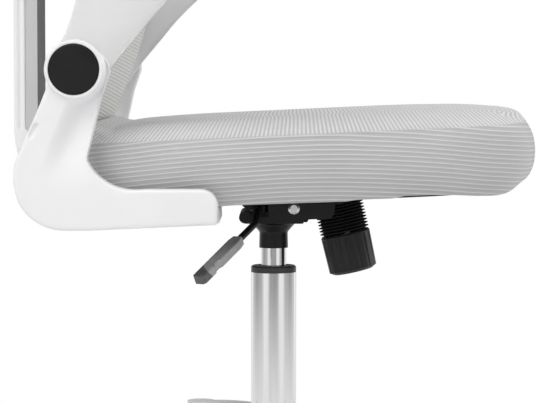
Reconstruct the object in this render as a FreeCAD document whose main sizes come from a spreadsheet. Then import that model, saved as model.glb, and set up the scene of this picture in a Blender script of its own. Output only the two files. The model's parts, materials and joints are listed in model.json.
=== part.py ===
import FreeCAD, Part
import Sketcher
import math
import os
from FreeCAD import Vector, Placement, Rotation

# Office chair. +X is forward, +Y is to the sitter's left, +Z is up, the origin is on the floor.
doc = FreeCAD.newDocument("office_chair")
sheet = doc.addObject("Spreadsheet::Sheet", "dims")

SIZES = {
    # casters
    "wheel_rad": 30.0,
    "wheel_wide": 17.0,
    "wheel_gap": 0.6,
    "tread_round": 4.0,
    "hub_dish_rad": 20.0,
    "hub_dish_deep": 3.0,
    "web_half": 4.5,
    "trail": 24.0,
    "hood_gap": 1.3,
    "hood_wall": 3.0,
    "boss_rad": 11.0,
    "caster_top": 72.0,
    "caster_lift": 0.3,
    "stem_rad": 5.5,
    "stem_in": 14.0,
    "stem_out": 20.0,
    "pin_rad": 3.0,
    "run_gap": 0.05,
    "fit_gap": 0.02,
    "caster_turn": 55.0,
    # star base
    "reach": 292.0,
    "leg_end_tall": 26.0,
    "leg_end_half": 17.0,
    "leg_mid_at": 150.0,
    "leg_mid_half": 19.0,
    "leg_mid_low": 76.0,
    "leg_mid_high": 116.0,
    "leg_root_half": 22.0,
    "leg_root_low": 66.0,
    "leg_root_high": 126.0,
    "leg_wall": 4.0,
    "hub_rad": 40.0,
    "hub_low": 62.0,
    "hub_high": 130.0,
    "socket_rad": 17.0,
    "leg_turn": 36.0,
    # gas column
    "tube_rad": 25.0,
    "tube_foot_rad": 23.9,
    "tube_wall": 2.0,
    "tube_low": 56.0,
    "tube_high": 280.4,
    "tube_plate": 3.0,
    "bush_high": 287.7,
    "bush_low": 190.0,
    "rod_rad": 5.0,
    "rod_low": 46.0,
    "rod_neck": 4.4,
    "washer_rad": 15.0,
    "washer_thick": 1.6,
    "ball_rad": 2.2,
    "ball_ring": 10.5,
    "shoulder_rad": 8.0,
    "shoulder_tall": 4.0,
    "piston_low": 206.0,
    "piston_tall": 12.0,
    "bore_rad": 12.0,
    "clip_rad": 9.5,
    "clip_thick": 1.6,
    "cyl_rad": 14.0,
    "cyl_low": 84.0,
    "cyl_head": 12.0,
    "taper_low": 307.5,
    "taper_high": 344.2,
    "taper_rad": 13.3,
    "valve_rad": 4.0,
    "valve_low": 331.0,
    "valve_high": 348.2,
    "valve_room": 5.0,
    "bore_high": 318.0,
    # tilt frame on top of the column
    "axle_x": 22.4,
    "axle_z": 353.5,
    "axle_rad": 5.5,
    "sleeve_rad": 16.0,
    "sleeve_high": 323.7,
    "cone_low": 325.7,
    "cone_mid_rad": 23.5,
    "cone_mid": 333.9,
    "plate_low": 336.2,
    "plate_thick": 3.6,
    "plate_rad": 33.0,
    "plate_half": 39.6,
    "cheek_thick": 4.0,
    "cheek_rear_top": 346.0,
    "cheek_round": 9.5,
    "stop_x": -31.0,
    "stop_z": 343.0,
    "stop_rad": 6.5,
    "tongue_half": 14.0,
    "tongue_thick": 4.0,
    # tension adjuster on its own tilted axis
    "ten_x": 71.6,
    "ten_z": 356.6,
    "ten_lean": 12.7,
    "seat_disc_rad": 27.5,
    "seat_disc_thick": 4.0,
    "disc_hole_rad": 9.5,
    "bolt_rad": 5.0,
    "bolt_low": 68.0,
    "bolt_head_rad": 9.0,
    "bolt_head_tall": 5.0,
    "knob_at": 33.2,
    "knob_long": 44.9,
    "knob_rad": 27.4,
    "knob_cup_rad": 23.0,
    "knob_cup_deep": 17.0,
    "knob_flutes": 16.0,
    "flute_rad": 3.6,
    "flute_in": 1.5,
    "nut_flat": 8.0,
    "nut_tall": 7.0,
    "cup_thick": 2.5,
    "cup_rad": 21.5,
    "rib_rad": 27.3,
    "rib_root": 23.9,
    "rib_pitch": 3.5,
    "bellows_bore": 22.6,
    "bellows_gap": 0.6,
    "coil_rad": 16.5,
    "wire_rad": 2.5,
    "coil_turns": 5.0,
    # lever
    "lever_x": -16.2,
    "lever_z": 352.0,
    "lever_rad": 3.75,
    "lever_tip": 7.0,
    "lever_knee_in": 0.0,
    "lever_knee_out": -12.5,
    "lever_turn_y": -58.0,
    "lever_fall": 33.0,
    "handle_x": -36.6,
    "handle_y": -112.0,
    "handle_z": 323.5,
    "handle_end_x": -77.0,
    "handle_end_y": -172.0,
    "handle_end_z": 286.0,
    "handle_wide": 15.0,
    "handle_thick": 8.0,
    "handle_back": 6.0,
    "grip_in": 14.0,
    "bend_rad": 8.0,
    "yoke_y": -31.0,
    "yoke_half": 4.0,
    "yoke_wide": 7.0,
    "yoke_z": 344.2,
    "yoke_low": 341.2,
    "yoke_high": 357.3,
    "trunnion_rad": 2.4,
    "ear_thick": 3.0,
    "ear_gap": 0.4,
    # tilting housing under the seat, in seat coordinates from the axle
    "pitch": 2.6,
    "side_in": 42.0,
    "side_thick": 3.0,
    "side_rear": -55.4,
    "side_front": 45.0,
    "side_low": -13.0,
    "base_w": 16.75,
    "sheet_thick": 3.0,
    "wing_u": 95.0,
    "wing_v": 76.0,
    "wing_end": 112.0,
    "wing_out": 92.0,
    "slot_front": -28.0,
    "slot_rear": -50.0,
    "slot_low": -8.0,
    "notch_in": 22.0,
    "axle_head_rad": 6.4,
    "axle_head": 4.0,
    # seat
    "seat_front": 266.0,
    "seat_rear": -222.0,
    "seat_half": 245.0,
    "seat_bow": 20.0,
    "corner_front": 68.0,
    "corner_rear": 60.0,
    "pan_thick": 12.0,
    "pan_side": 22.0,
    "pan_front": 42.0,
    "pan_rear": 22.0,
    "pan_gap": 0.4,
    "cover_up": 1.0,
    "screw_rad": 3.0,
    "screw_hole": 3.3,
    "screw_head_rad": 6.0,
    "screw_head": 4.0,
    "screw_grip": 10.0,
    # arm brackets
    "arm_u": -211.6,
    "arm_w": 162.1,
    "bracket_in": 252.0,
    "bracket_out": 278.0,
    "foot_in": 150.0,
    "foot_low": 0.8,
    "foot_front": -75.0,
    "foot_rear": -226.0,
    "ring_rad": 29.0,
    "ring_out": 281.5,
    "cap_rad": 25.4,
    "cap_deep": 3.0,
    "cap_proud": 1.5,
    "pivot_rad": 6.0,
    "pivot_head_rad": 12.0,
    "pivot_head": 4.0,
    "sink": 8.0,
    "foot_bolt_1": -165.0,
    "foot_bolt_2": -100.0,
    "foot_bolt_v": 185.0,
    # flip-up arms
    "arm_in": 230.0,
    "arm_out": 251.7,
    "hub_arm_rad": 28.0,
    "bush_arm_rad": 9.0,
    "pad_long": 262.0,
    "pad_start": 12.0,
    "pad_low": 144.0,
    "pad_tall": 25.0,
    "pad_in": 232.0,
    "pad_out": 292.0,
    "pad_round": 9.0,
    # back upright
    "spine_half": 46.0,
    "spine_rear": -281.7,
    "spine_front": -256.0,
    "spine_step": -269.0,
    "spine_top": 812.0,
    "panel_top": 752.0,
    "panel_low": 440.0,
    "panel_half": 44.5,
    "bend_start": 440.0,
    "bend_out_x": -216.0,
    "bend_out_rad": 100.0,
    "bend_in_x": -212.0,
    "bend_in_z": 404.0,
    "bend_in_rad": 46.0,
    "spine_toe": -128.0,
    "spine_foot": 14.0,
    "toe_bolt_1": -182.0,
    "toe_bolt_2": -162.0,
    "toe_bolt_v": 26.0,
    # back frame and mesh
    "wrap": 0.001,
    "slab_half": 240.0,
    "frame_deep": 16.0,
    "frame_bar": 18.0,
    "cloth_in": 3.0,
    "mesh_thick": 2.4,
    "back_low": 404.0,
    "back_low_half": 146.0,
    "back_knee_half": 199.0,
    "back_knee": 452.0,
    "back_wide_half": 224.0,
    "back_wide": 740.0,
    "back_neck_half": 197.0,
    "back_neck": 932.0,
    "back_top_half": 116.0,
    "back_top": 1000.0,
    "back_low_round": 62.0,
    "back_arch_round": 314.0,
    "back_top_round": 92.0,
    "back_side_round": 900.0,
    "back_crest_round": 1400.0,
    "brace_low": 764.0,
    "brace_tall": 40.0,
    "brace_thick": 12.0,
    "brace_end_x": -156.0,
    "brace_end_y": 222.0,
    "brace_mid_x": -243.0,
    "brace_boss": 36.0,
    "brace_screw_y": 22.0,
    "brace_screw_z": 12.0,
    "brace_screw_rad": 2.5,
    "brace_screw_head": 5.0,
}

for row, (name, value) in enumerate(SIZES.items(), 1):
    sheet.set("A%d" % row, name)
    sheet.set("B%d" % row, str(value))
    sheet.setAlias("B%d" % row, name)
doc.recompute()

nodes = []


def val(expression):
    return float(sheet.evalExpression(str(expression)))


def node(obj, label):
    obj.Label = label
    nodes.append(obj)
    return obj


def new_body(name):
    return doc.addObject("PartDesign::Body", name)


def plane_of(body, role):
    return next(item for item in body.Origin.OriginFeatures if item.Role == role)


def new_sketch(body, name, role, offset=None):
    sketch = body.newObject("Sketcher::SketchObject", name)
    sketch.AttachmentSupport = [(plane_of(body, role), "")]
    sketch.MapMode = "FlatFace"
    if offset is not None:
        sketch.setExpression("AttachmentOffset.Base.z", offset)
    return sketch


def bind(sketch, constraint, name, expression):
    index = sketch.addConstraint(constraint)
    sketch.renameConstraint(index, name)
    sketch.setExpression("Constraints." + name, expression)


# A closed outline. Each point is (x, y) or (x, y, radius): the radius bends the side that follows it,
# positive to the left of the direction of travel and negative to the right.
def outline(body, name, role, points, offset=None):
    sketch = new_sketch(body, name, role, offset)
    add_loop(sketch, points, "p")
    return sketch


def add_loop(sketch, points, tag):
    count = len(points)
    spots = [Vector(val(p[0]), val(p[1]), 0) for p in points]
    ids = []
    for i in range(count):
        start = spots[i]
        end = spots[(i + 1) % count]
        if len(points[i]) < 3:
            ids.append(sketch.addGeometry(Part.LineSegment(start, end)))
            continue
        radius = val(points[i][2])
        chord = end - start
        half = chord.Length / 2
        left = Vector(-chord.y, chord.x, 0).normalize()
        sag = abs(radius) - math.sqrt(radius * radius - half * half)
        middle = (start + end) * 0.5 + left * math.copysign(sag, radius)
        ids.append(sketch.addGeometry(Part.Arc(start, middle, end)))
    ends = []
    for i in range(count):
        first = (sketch.getPoint(ids[i], 1) - spots[i]).Length < 1e-6
        ends.append((1, 2) if first else (2, 1))
    for i in range(count):
        j = (i + 1) % count
        sketch.addConstraint(Sketcher.Constraint("Coincident", ids[i], ends[i][1], ids[j], ends[j][0]))
    for i in range(count):
        spot = spots[i]
        across = Sketcher.Constraint("DistanceX", -1, 1, ids[i], ends[i][0], spot.x)
        bind(sketch, across, "%s%dx" % (tag, i), str(points[i][0]))
        up = Sketcher.Constraint("DistanceY", -1, 1, ids[i], ends[i][0], spot.y)
        bind(sketch, up, "%s%dy" % (tag, i), str(points[i][1]))
        if len(points[i]) > 2:
            round_off = Sketcher.Constraint("Radius", ids[i], abs(val(points[i][2])))
            bind(sketch, round_off, "%s%dr" % (tag, i), "abs(%s)" % points[i][2])


def circles(body, name, role, centres, radius, offset=None):
    sketch = new_sketch(body, name, role, offset)
    for i, (x, y) in enumerate(centres):
        ring = Part.Circle(Vector(val(x), val(y), 0), Vector(0, 0, 1), val(radius))
        index = sketch.addGeometry(ring)
        bind(sketch, Sketcher.Constraint("DistanceX", -1, 1, index, 3, val(x)), "c%dx" % i, str(x))
        bind(sketch, Sketcher.Constraint("DistanceY", -1, 1, index, 3, val(y)), "c%dy" % i, str(y))
        bind(sketch, Sketcher.Constraint("Radius", index, val(radius)), "c%dr" % i, str(radius))
    return sketch


def pad(body, sketch, length, both=False, back=False):
    feature = body.newObject("PartDesign::Pad", sketch.Name + "_pad")
    feature.Profile = sketch
    feature.setExpression("Length", length)
    feature.Midplane = both
    feature.Reversed = back
    sketch.Visibility = False
    doc.recompute()
    return feature


def pocket(body, sketch, length=None, back=False):
    feature = body.newObject("PartDesign::Pocket", sketch.Name + "_cut")
    feature.Profile = sketch
    if length is None:
        feature.Type = "ThroughAll"
        feature.Midplane = True
    else:
        feature.setExpression("Length", length)
        feature.Reversed = back
    doc.recompute()
    return feature


def revolve(body, sketch):
    feature = body.newObject("PartDesign::Revolution", sketch.Name + "_turn")
    feature.Profile = sketch
    feature.ReferenceAxis = (sketch, ["V_Axis"])
    feature.Angle = 360
    doc.recompute()
    return feature


def turned(name, profile):
    body = new_body(name)
    revolve(body, outline(body, name + "_profile", "XZ_Plane", profile))
    return body


def loft(body, sketches, name, ruled=False):
    feature = body.newObject("PartDesign::AdditiveLoft", name)
    feature.Profile = sketches[0]
    feature.Sections = sketches[1:]
    feature.Ruled = ruled
    doc.recompute()
    return feature


def soften(body, size, wanted):
    tip = body.Tip
    picked = []
    for i, edge in enumerate(tip.Shape.Edges, 1):
        if wanted(edge):
            picked.append("Edge%d" % i)
    feature = body.newObject("PartDesign::Fillet", body.Name + "_soft%d" % len(body.Group))
    feature.Base = (tip, picked)
    feature.Radius = size
    doc.recompute()
    return feature


def place(obj, x="0", y="0", z="0", axis=None, angle=None):
    if axis is not None:
        obj.Placement = Placement(Vector(0, 0, 0), Rotation(axis, val(angle)))
        obj.setExpression("Placement.Rotation.Angle", "(%s) * 1deg" % angle)
    obj.setExpression("Placement.Base.x", x)
    obj.setExpression("Placement.Base.y", y)
    obj.setExpression("Placement.Base.z", z)
    return obj


def on_seat(obj):
    return place(obj, "dims.axle_x", "0", "dims.axle_z", Vector(0, -1, 0), "dims.pitch")


def on_tension(obj):
    return place(obj, "dims.ten_x", "0", "dims.ten_z", Vector(0, -1, 0), "dims.ten_lean")


def copy_of(source, name, x="0", y="0", z="0", axis=None, angle=None):
    twin = doc.addObject("Part::Compound", name)
    twin.Links = [source]
    return place(twin, x, y, z, axis, angle)


def group_of(items, name):
    group = doc.addObject("Part::Compound", name)
    group.Links = items
    return group


def mirrored(source, name):
    twin = doc.addObject("Part::Mirroring", name)
    twin.Source = source
    twin.Base = Vector(0, 0, 0)
    twin.Normal = Vector(0, 1, 0)
    return twin


def boolean(kind, first, second, name):
    result = doc.addObject("Part::" + kind, name)
    result.Base = first
    result.Tool = second
    doc.recompute()
    return result


# Casters: stem on the Z axis, wheel axle behind it.
hood_out = "(dims.wheel_rad + dims.hood_gap + dims.hood_wall)"
hood_in = "(dims.wheel_rad + dims.hood_gap)"
wheel_from = "(dims.web_half + dims.wheel_gap)"
wheel_to = "(%s + dims.wheel_wide)" % wheel_from

hood = new_body("hood_master")
web = [
    ("-dims.trail - 9", "dims.wheel_rad - 9"),
    ("-dims.trail + 9", "dims.wheel_rad - 9"),
    ("dims.boss_rad", "dims.caster_top - 24"),
    ("dims.boss_rad", "dims.caster_top - 6"),
    ("-dims.trail", "dims.wheel_rad + %s" % hood_out, "-" + hood_out),
    ("-dims.trail - %s" % hood_out, "dims.wheel_rad"),
]
pad(hood, outline(hood, "web", "XZ_Plane", web), "2 * dims.web_half", both=True)
arch = [
    ("-dims.trail - %s" % hood_out, "dims.wheel_rad", "%s" % hood_out),
    ("-dims.trail", "dims.wheel_rad + %s" % hood_out, "%s" % hood_out),
    ("-dims.trail + 0.9 * %s" % hood_out, "dims.wheel_rad + 0.4359 * %s" % hood_out),
    ("-dims.trail + 0.9 * %s" % hood_in, "dims.wheel_rad + 0.4359 * %s" % hood_in, "-%s" % hood_in),
    ("-dims.trail", "dims.wheel_rad + %s" % hood_in, "-%s" % hood_in),
    ("-dims.trail - %s" % hood_in, "dims.wheel_rad"),
]
pad(hood, outline(hood, "arch", "XZ_Plane", arch), "2 * %s" % wheel_to, both=True)
boss = circles(hood, "boss", "XY_Plane", [("0", "0")], "dims.boss_rad", "dims.caster_top - 22")
pad(hood, boss, "22")
room = circles(hood, "room_right", "XZ_Plane", [("-dims.trail", "dims.wheel_rad")], hood_in, "dims.web_half")
pocket(hood, room, "dims.wheel_wide * 2", back=True)
room = circles(hood, "room_left", "XZ_Plane", [("-dims.trail", "dims.wheel_rad")], hood_in, "-dims.web_half")
pocket(hood, room, "dims.wheel_wide * 2")
stem_bore = circles(hood, "stem_bore", "XY_Plane", [("0", "0")], "dims.stem_rad", "dims.caster_top")
pocket(hood, stem_bore, "dims.stem_in")
pin_bore = circles(hood, "pin_bore", "XZ_Plane", [("-dims.trail", "dims.wheel_rad")], "dims.pin_rad")
pocket(hood, pin_bore)

stem = turned("stem_master", [
    ("0", "dims.caster_top - dims.stem_in"),
    ("dims.stem_rad", "dims.caster_top - dims.stem_in"),
    ("dims.stem_rad", "dims.caster_top + dims.stem_out - 5"),
    ("dims.stem_rad - 0.8", "dims.caster_top + dims.stem_out - 4.5"),
    ("dims.stem_rad - 0.8", "dims.caster_top + dims.stem_out - 3"),
    ("dims.stem_rad", "dims.caster_top + dims.stem_out - 2.5"),
    ("dims.stem_rad - 1", "dims.caster_top + dims.stem_out"),
    ("0", "dims.caster_top + dims.stem_out"),
])
axle_pin = new_body("pin_master")
pin_round = circles(axle_pin, "pin_round", "XZ_Plane", [("-dims.trail", "dims.wheel_rad")], "dims.pin_rad")
pad(axle_pin, pin_round, "2 * (%s - dims.hub_dish_deep)" % wheel_to, both=True)
pins = group_of([stem, axle_pin], "pins_master")

# The wheel is turned about Z and then laid on its side, outer face up.
wheel = turned("wheel_master", [
    ("dims.pin_rad + dims.run_gap", "0"),
    ("dims.wheel_rad - dims.tread_round", "0", "-dims.tread_round"),
    ("dims.wheel_rad", "dims.tread_round"),
    ("dims.wheel_rad", "dims.wheel_wide - dims.tread_round", "-dims.tread_round"),
    ("dims.wheel_rad - dims.tread_round", "dims.wheel_wide"),
    ("dims.hub_dish_rad + 2", "dims.wheel_wide"),
    ("dims.hub_dish_rad", "dims.wheel_wide - dims.hub_dish_deep"),
    ("dims.pin_rad + dims.run_gap", "dims.wheel_wide - dims.hub_dish_deep"),
])
wheel_right = copy_of(wheel, "wheel_right_master", "-dims.trail", "-" + wheel_from, "dims.wheel_rad",
                      Vector(1, 0, 0), "90")
wheel_left = copy_of(wheel, "wheel_left_master", "-dims.trail", wheel_from, "dims.wheel_rad",
                     Vector(1, 0, 0), "-90")

for number in range(1, 6):
    angle = "(dims.leg_turn + %d)" % (72 * number)
    at_x = "dims.reach * cos(%s * 1deg)" % angle
    at_y = "dims.reach * sin(%s * 1deg)" % angle
    turn = "%s + dims.caster_turn" % angle
    for source, label in ((hood, "caster_hood_%d"), (pins, "caster_pins_%d"),
                          (wheel_right, "wheel_right_%d"), (wheel_left, "wheel_left_%d")):
        label = label % number
        node(copy_of(source, label, at_x, at_y, "0", Vector(0, 0, 1), turn), label)

# Five-legged base with hollow legs.
base = new_body("star_base")
leg_foot = "(dims.caster_top + dims.caster_lift)"
hub_cone = "(dims.tube_rad - dims.tube_foot_rad) / (dims.hub_high - dims.tube_low)"
hub_gap = "dims.fit_gap"
revolve(base, outline(base, "hub", "XZ_Plane", [
    ("dims.tube_foot_rad + %s * (dims.hub_low - dims.tube_low) + %s" % (hub_cone, hub_gap), "dims.hub_low"),
    ("dims.hub_rad - 3", "dims.hub_low"),
    ("dims.hub_rad", "dims.hub_low + 3"),
    ("dims.hub_rad - 2", "dims.hub_high - 16"),
    ("dims.hub_rad - 8", "dims.hub_high"),
    ("dims.tube_rad + %s" % hub_gap, "dims.hub_high"),
]))


def leg_section(name, at, half, low, high):
    return outline(base, name, "YZ_Plane", [
        ("-" + half, low),
        (half, low),
        (half, "%s - 8" % high, "-8.5"),
        ("%s - 8" % half, high),
        ("8 - %s" % half, high, "-8.5"),
        ("-" + half, "%s - 8" % high),
    ], at)


leg_high = "(%s + dims.leg_end_tall)" % leg_foot

legs = [
    leg_section("leg_root", "dims.hub_rad - 12", "dims.leg_root_half", "dims.leg_root_low", "dims.leg_root_high"),
    leg_section("leg_mid", "dims.leg_mid_at", "dims.leg_mid_half", "dims.leg_mid_low", "dims.leg_mid_high"),
    leg_section("leg_end", "dims.reach", "dims.leg_end_half", leg_foot, leg_high),
]
leg = loft(base, legs, "leg")


def hollow_section(name, at, half, low, high):
    return outline(base, name, "YZ_Plane", [
        ("dims.leg_wall - %s" % half, "%s - 1" % low),
        ("%s - dims.leg_wall" % half, "%s - 1" % low),
        ("%s - dims.leg_wall - 2" % half, "%s - dims.leg_wall - 4" % high),
        ("dims.leg_wall + 2 - %s" % half, "%s - dims.leg_wall - 4" % high),
    ], at)


hollows = [
    hollow_section("hollow_root", "dims.hub_rad + 6", "dims.leg_root_half", "dims.leg_root_low",
                   "dims.leg_root_high"),
    hollow_section("hollow_mid", "dims.leg_mid_at", "dims.leg_mid_half", "dims.leg_mid_low",
                   "dims.leg_mid_high"),
    hollow_section("hollow_end", "dims.reach - dims.socket_rad - 6", "dims.leg_end_half",
                   leg_foot, "(%s + 2)" % leg_high),
]
hollow = base.newObject("PartDesign::SubtractiveLoft", "hollow")
hollow.Profile = hollows[0]
hollow.Sections = hollows[1:]
doc.recompute()
socket_ring = circles(base, "socket_ring", "XY_Plane", [("dims.reach", "0")], "dims.socket_rad", leg_foot)
socket = pad(base, socket_ring, "dims.leg_end_tall")
bore_ring = circles(base, "bore_ring", "XY_Plane", [("dims.reach", "0")], "dims.stem_rad + dims.run_gap", leg_foot)
bore = pocket(base, bore_ring, "dims.stem_out + 1.5", back=True)
spread = base.newObject("PartDesign::PolarPattern", "spread")
spread.Originals = [leg, hollow, socket, bore]
spread.Axis = (plane_of(base, "Z_Axis"), [""])
spread.Angle = 360
spread.Occurrences = 5
base.Tip = spread
doc.recompute()
place(base, axis=Vector(0, 0, 1), angle="dims.leg_turn")
node(base, "star_base")

# Gas column.
plate_top = "(dims.tube_low + dims.tube_plate)"
bearing_top = "(%s + 2 * dims.washer_thick + 2 * dims.ball_rad)" % plate_top
node(turned("column_tube", [
    ("dims.rod_rad + 1", "dims.tube_low"),
    ("dims.tube_foot_rad", "dims.tube_low"),
    ("dims.tube_rad", "dims.hub_high"),
    ("dims.tube_rad", "dims.tube_high"),
    ("dims.tube_rad - dims.tube_wall", "dims.tube_high"),
    ("dims.tube_rad - dims.tube_wall", "dims.hub_high"),
    ("dims.tube_foot_rad - dims.tube_wall", plate_top),
    ("dims.rod_rad + 1", plate_top),
]), "column_tube")
node(turned("guide_bush", [
    ("dims.cyl_rad + dims.run_gap", "dims.bush_low"),
    ("dims.tube_rad - dims.tube_wall - dims.fit_gap", "dims.bush_low"),
    ("dims.tube_rad - dims.tube_wall - dims.fit_gap", "dims.tube_high"),
    ("dims.tube_rad - 0.05", "dims.tube_high"),
    ("dims.tube_rad - 0.05", "dims.bush_high - 1.5"),
    ("dims.tube_rad - 1.55", "dims.bush_high"),
    ("dims.cyl_rad + dims.run_gap + 1.5", "dims.bush_high"),
    ("dims.cyl_rad + dims.run_gap", "dims.bush_high - 1.5"),
]), "guide_bush")

washers = []
for name, level in (("washer_low", plate_top), ("washer_high", "%s - dims.washer_thick" % bearing_top)):
    washers.append(turned(name, [
        ("dims.rod_rad + 0.5", level),
        ("dims.washer_rad", level),
        ("dims.washer_rad", "%s + dims.washer_thick" % level),
        ("dims.rod_rad + 0.5", "%s + dims.washer_thick" % level),
    ]))
for number in range(8):
    ball = doc.addObject("Part::Sphere", "ball_%d" % number)
    ball.setExpression("Radius", "dims.ball_rad - 0.02")
    place(ball, "dims.ball_ring * cos(%d * 1deg)" % (45 * number),
          "dims.ball_ring * sin(%d * 1deg)" % (45 * number),
          "%s + dims.washer_thick + dims.ball_rad" % plate_top)
    washers.append(ball)
node(group_of(washers, "bearing_group"), "thrust_bearing")

node(turned("gas_rod", [
    ("0", "dims.rod_low"),
    ("dims.rod_rad - 1", "dims.rod_low"),
    ("dims.rod_rad", "dims.rod_low + 1"),
    ("dims.rod_rad", "dims.tube_low - 1 - dims.clip_thick"),
    ("dims.rod_neck", "dims.tube_low - 1 - dims.clip_thick"),
    ("dims.rod_neck", "dims.tube_low - 1"),
    ("dims.rod_rad", "dims.tube_low - 1"),
    ("dims.rod_rad", bearing_top),
    ("dims.shoulder_rad", bearing_top),
    ("dims.shoulder_rad", "%s + dims.shoulder_tall" % bearing_top),
    ("dims.rod_rad", "%s + dims.shoulder_tall" % bearing_top),
    ("dims.rod_rad", "dims.piston_low"),
    ("dims.bore_rad - 2 * dims.run_gap", "dims.piston_low"),
    ("dims.bore_rad - 2 * dims.run_gap", "dims.piston_low + dims.piston_tall"),
    ("0", "dims.piston_low + dims.piston_tall"),
]), "gas_rod")
clip = turned("rod_clip_ring", [
    ("dims.rod_neck + dims.fit_gap", "dims.tube_low - 1 - dims.clip_thick"),
    ("dims.clip_rad", "dims.tube_low - 1 - dims.clip_thick"),
    ("dims.clip_rad", "dims.tube_low - 1"),
    ("dims.rod_neck + dims.fit_gap", "dims.tube_low - 1"),
])
mouth = outline(clip, "clip_mouth", "XY_Plane", [
    ("0", "-dims.rod_neck * 0.8"),
    ("dims.clip_rad + 1", "-dims.rod_neck * 0.8"),
    ("dims.clip_rad + 1", "dims.rod_neck * 0.8"),
    ("0", "dims.rod_neck * 0.8"),
])
pocket(clip, mouth)
node(clip, "rod_clip")

node(turned("gas_cylinder", [
    ("dims.rod_rad + dims.run_gap", "dims.cyl_low"),
    ("dims.cyl_rad - 1", "dims.cyl_low"),
    ("dims.cyl_rad", "dims.cyl_low + 1"),
    ("dims.cyl_rad", "dims.taper_low"),
    ("dims.taper_rad", "dims.taper_high"),
    ("dims.valve_rad + dims.run_gap", "dims.taper_high"),
    ("dims.valve_rad + dims.run_gap", "dims.valve_low - dims.valve_room"),
    ("1.5", "dims.valve_low - dims.valve_room"),
    ("1.5", "dims.bore_high"),
    ("dims.bore_rad", "dims.bore_high"),
    ("dims.bore_rad", "dims.cyl_low + dims.cyl_head"),
    ("dims.rod_rad + dims.run_gap", "dims.cyl_low + dims.cyl_head"),
]), "gas_cylinder")
node(turned("valve_pin", [
    ("0", "dims.valve_low"),
    ("dims.valve_rad", "dims.valve_low"),
    ("dims.valve_rad", "dims.valve_high - 0.8"),
    ("dims.valve_rad - 0.8", "dims.valve_high"),
    ("0", "dims.valve_high"),
]), "valve_pin")

# Column bracket: taper socket, bell, base plate with two cheeks, stop bar and spring tongue.
plate_high = "(dims.plate_low + dims.plate_thick)"
taper_run = "(dims.cyl_rad - dims.taper_rad) / (dims.taper_high - dims.taper_low)"
bracket = new_body("bracket_core")
revolve(bracket, outline(bracket, "bell", "XZ_Plane", [
    ("dims.cyl_rad + dims.fit_gap", "dims.taper_low"),
    ("dims.sleeve_rad", "dims.taper_low"),
    ("dims.sleeve_rad - 0.4", "dims.sleeve_high"),
    ("dims.sleeve_rad + 0.3", "dims.cone_low"),
    ("dims.cone_mid_rad", "dims.cone_mid"),
    ("dims.plate_rad - 1.5", "dims.plate_low"),
    ("dims.plate_rad - 1.5", plate_high),
    ("dims.cyl_rad + dims.fit_gap - %s * (%s - dims.taper_low)" % (taper_run, plate_high), plate_high),
]))
inner_hole = "dims.sleeve_rad"
base_plate = new_sketch(bracket, "base_plate", "XY_Plane", "dims.plate_low")
add_loop(base_plate, [
    ("dims.stop_x", "-dims.plate_half"),
    ("dims.plate_rad - 6", "-dims.plate_half", "-6.5"),
    ("dims.plate_rad", "-dims.plate_half + 6"),
    ("dims.plate_rad", "dims.plate_half - 6", "-6.5"),
    ("dims.plate_rad - 6", "dims.plate_half"),
    ("dims.stop_x", "dims.plate_half"),
], "p")
ring = base_plate.addGeometry(Part.Circle(Vector(0, 0, 0), Vector(0, 0, 1), val(inner_hole)))
base_plate.addConstraint(Sketcher.Constraint("Coincident", ring, 3, -1, 1))
bind(base_plate, Sketcher.Constraint("Radius", ring, val(inner_hole)), "hole", inner_hole)
pad(bracket, base_plate, "dims.plate_thick")
cheek = [
    ("dims.stop_x", "dims.plate_low"),
    ("dims.plate_rad - 2", "dims.plate_low"),
    ("dims.axle_x + dims.cheek_round", "dims.axle_z", "-dims.cheek_round"),
    ("dims.axle_x", "dims.axle_z + dims.cheek_round", "-dims.cheek_round"),
    ("dims.axle_x - dims.cheek_round", "dims.axle_z"),
    ("dims.axle_x - dims.cheek_round - 6", "dims.cheek_rear_top"),
    ("dims.stop_x", "dims.cheek_rear_top"),
]
for name, offset in (("cheek_right", "dims.plate_half - dims.cheek_thick"), ("cheek_left", "-dims.plate_half")):
    pad(bracket, outline(bracket, name, "XZ_Plane", cheek, offset), "dims.cheek_thick")
bar = circles(bracket, "stop_bar", "XZ_Plane", [("dims.stop_x", "dims.stop_z")], "dims.stop_rad")
pad(bracket, bar, "2 * dims.plate_half", both=True)
for name, offset in (("ear_rear", "dims.lever_x - dims.yoke_wide - dims.ear_gap - dims.ear_thick"),
                     ("ear_front", "dims.lever_x + dims.yoke_wide + dims.ear_gap")):
    ear = outline(bracket, name, "YZ_Plane", [
        ("dims.yoke_y - 5", "dims.plate_low + 1"),
        ("dims.yoke_y + 5", "dims.plate_low + 1"),
        ("dims.yoke_y + 5", "dims.yoke_z + 4.5"),
        ("dims.yoke_y - 5", "dims.yoke_z + 4.5"),
    ], offset)
    pad(bracket, ear, "dims.ear_thick")
rear_ear = "dims.lever_x - dims.yoke_wide - dims.ear_gap - dims.ear_thick - 0.5"
trunnion_hole = circles(bracket, "trunnion_hole", "YZ_Plane", [("dims.yoke_y", "dims.yoke_z")],
                        "dims.trunnion_rad + dims.run_gap", rear_ear)
pocket(bracket, trunnion_hole, "2 * (dims.yoke_wide + dims.ear_gap + dims.ear_thick) + 1", back=True)
axle_hole = circles(bracket, "axle_hole", "XZ_Plane", [("dims.axle_x", "dims.axle_z")],
                    "dims.axle_rad + dims.run_gap")
pocket(bracket, axle_hole)
lean_s = "sin(dims.ten_lean * 1deg)"
lean_c = "cos(dims.ten_lean * 1deg)"


# A point in the chair's XZ plane from the tension axis: along it from its top and across it forwards.
def tension_point(along, across):
    return ("dims.ten_x + (%s) * %s + (%s) * %s" % (along, lean_s, across, lean_c),
            "dims.ten_z - (%s) * %s + (%s) * %s" % (along, lean_c, across, lean_s))


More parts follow.
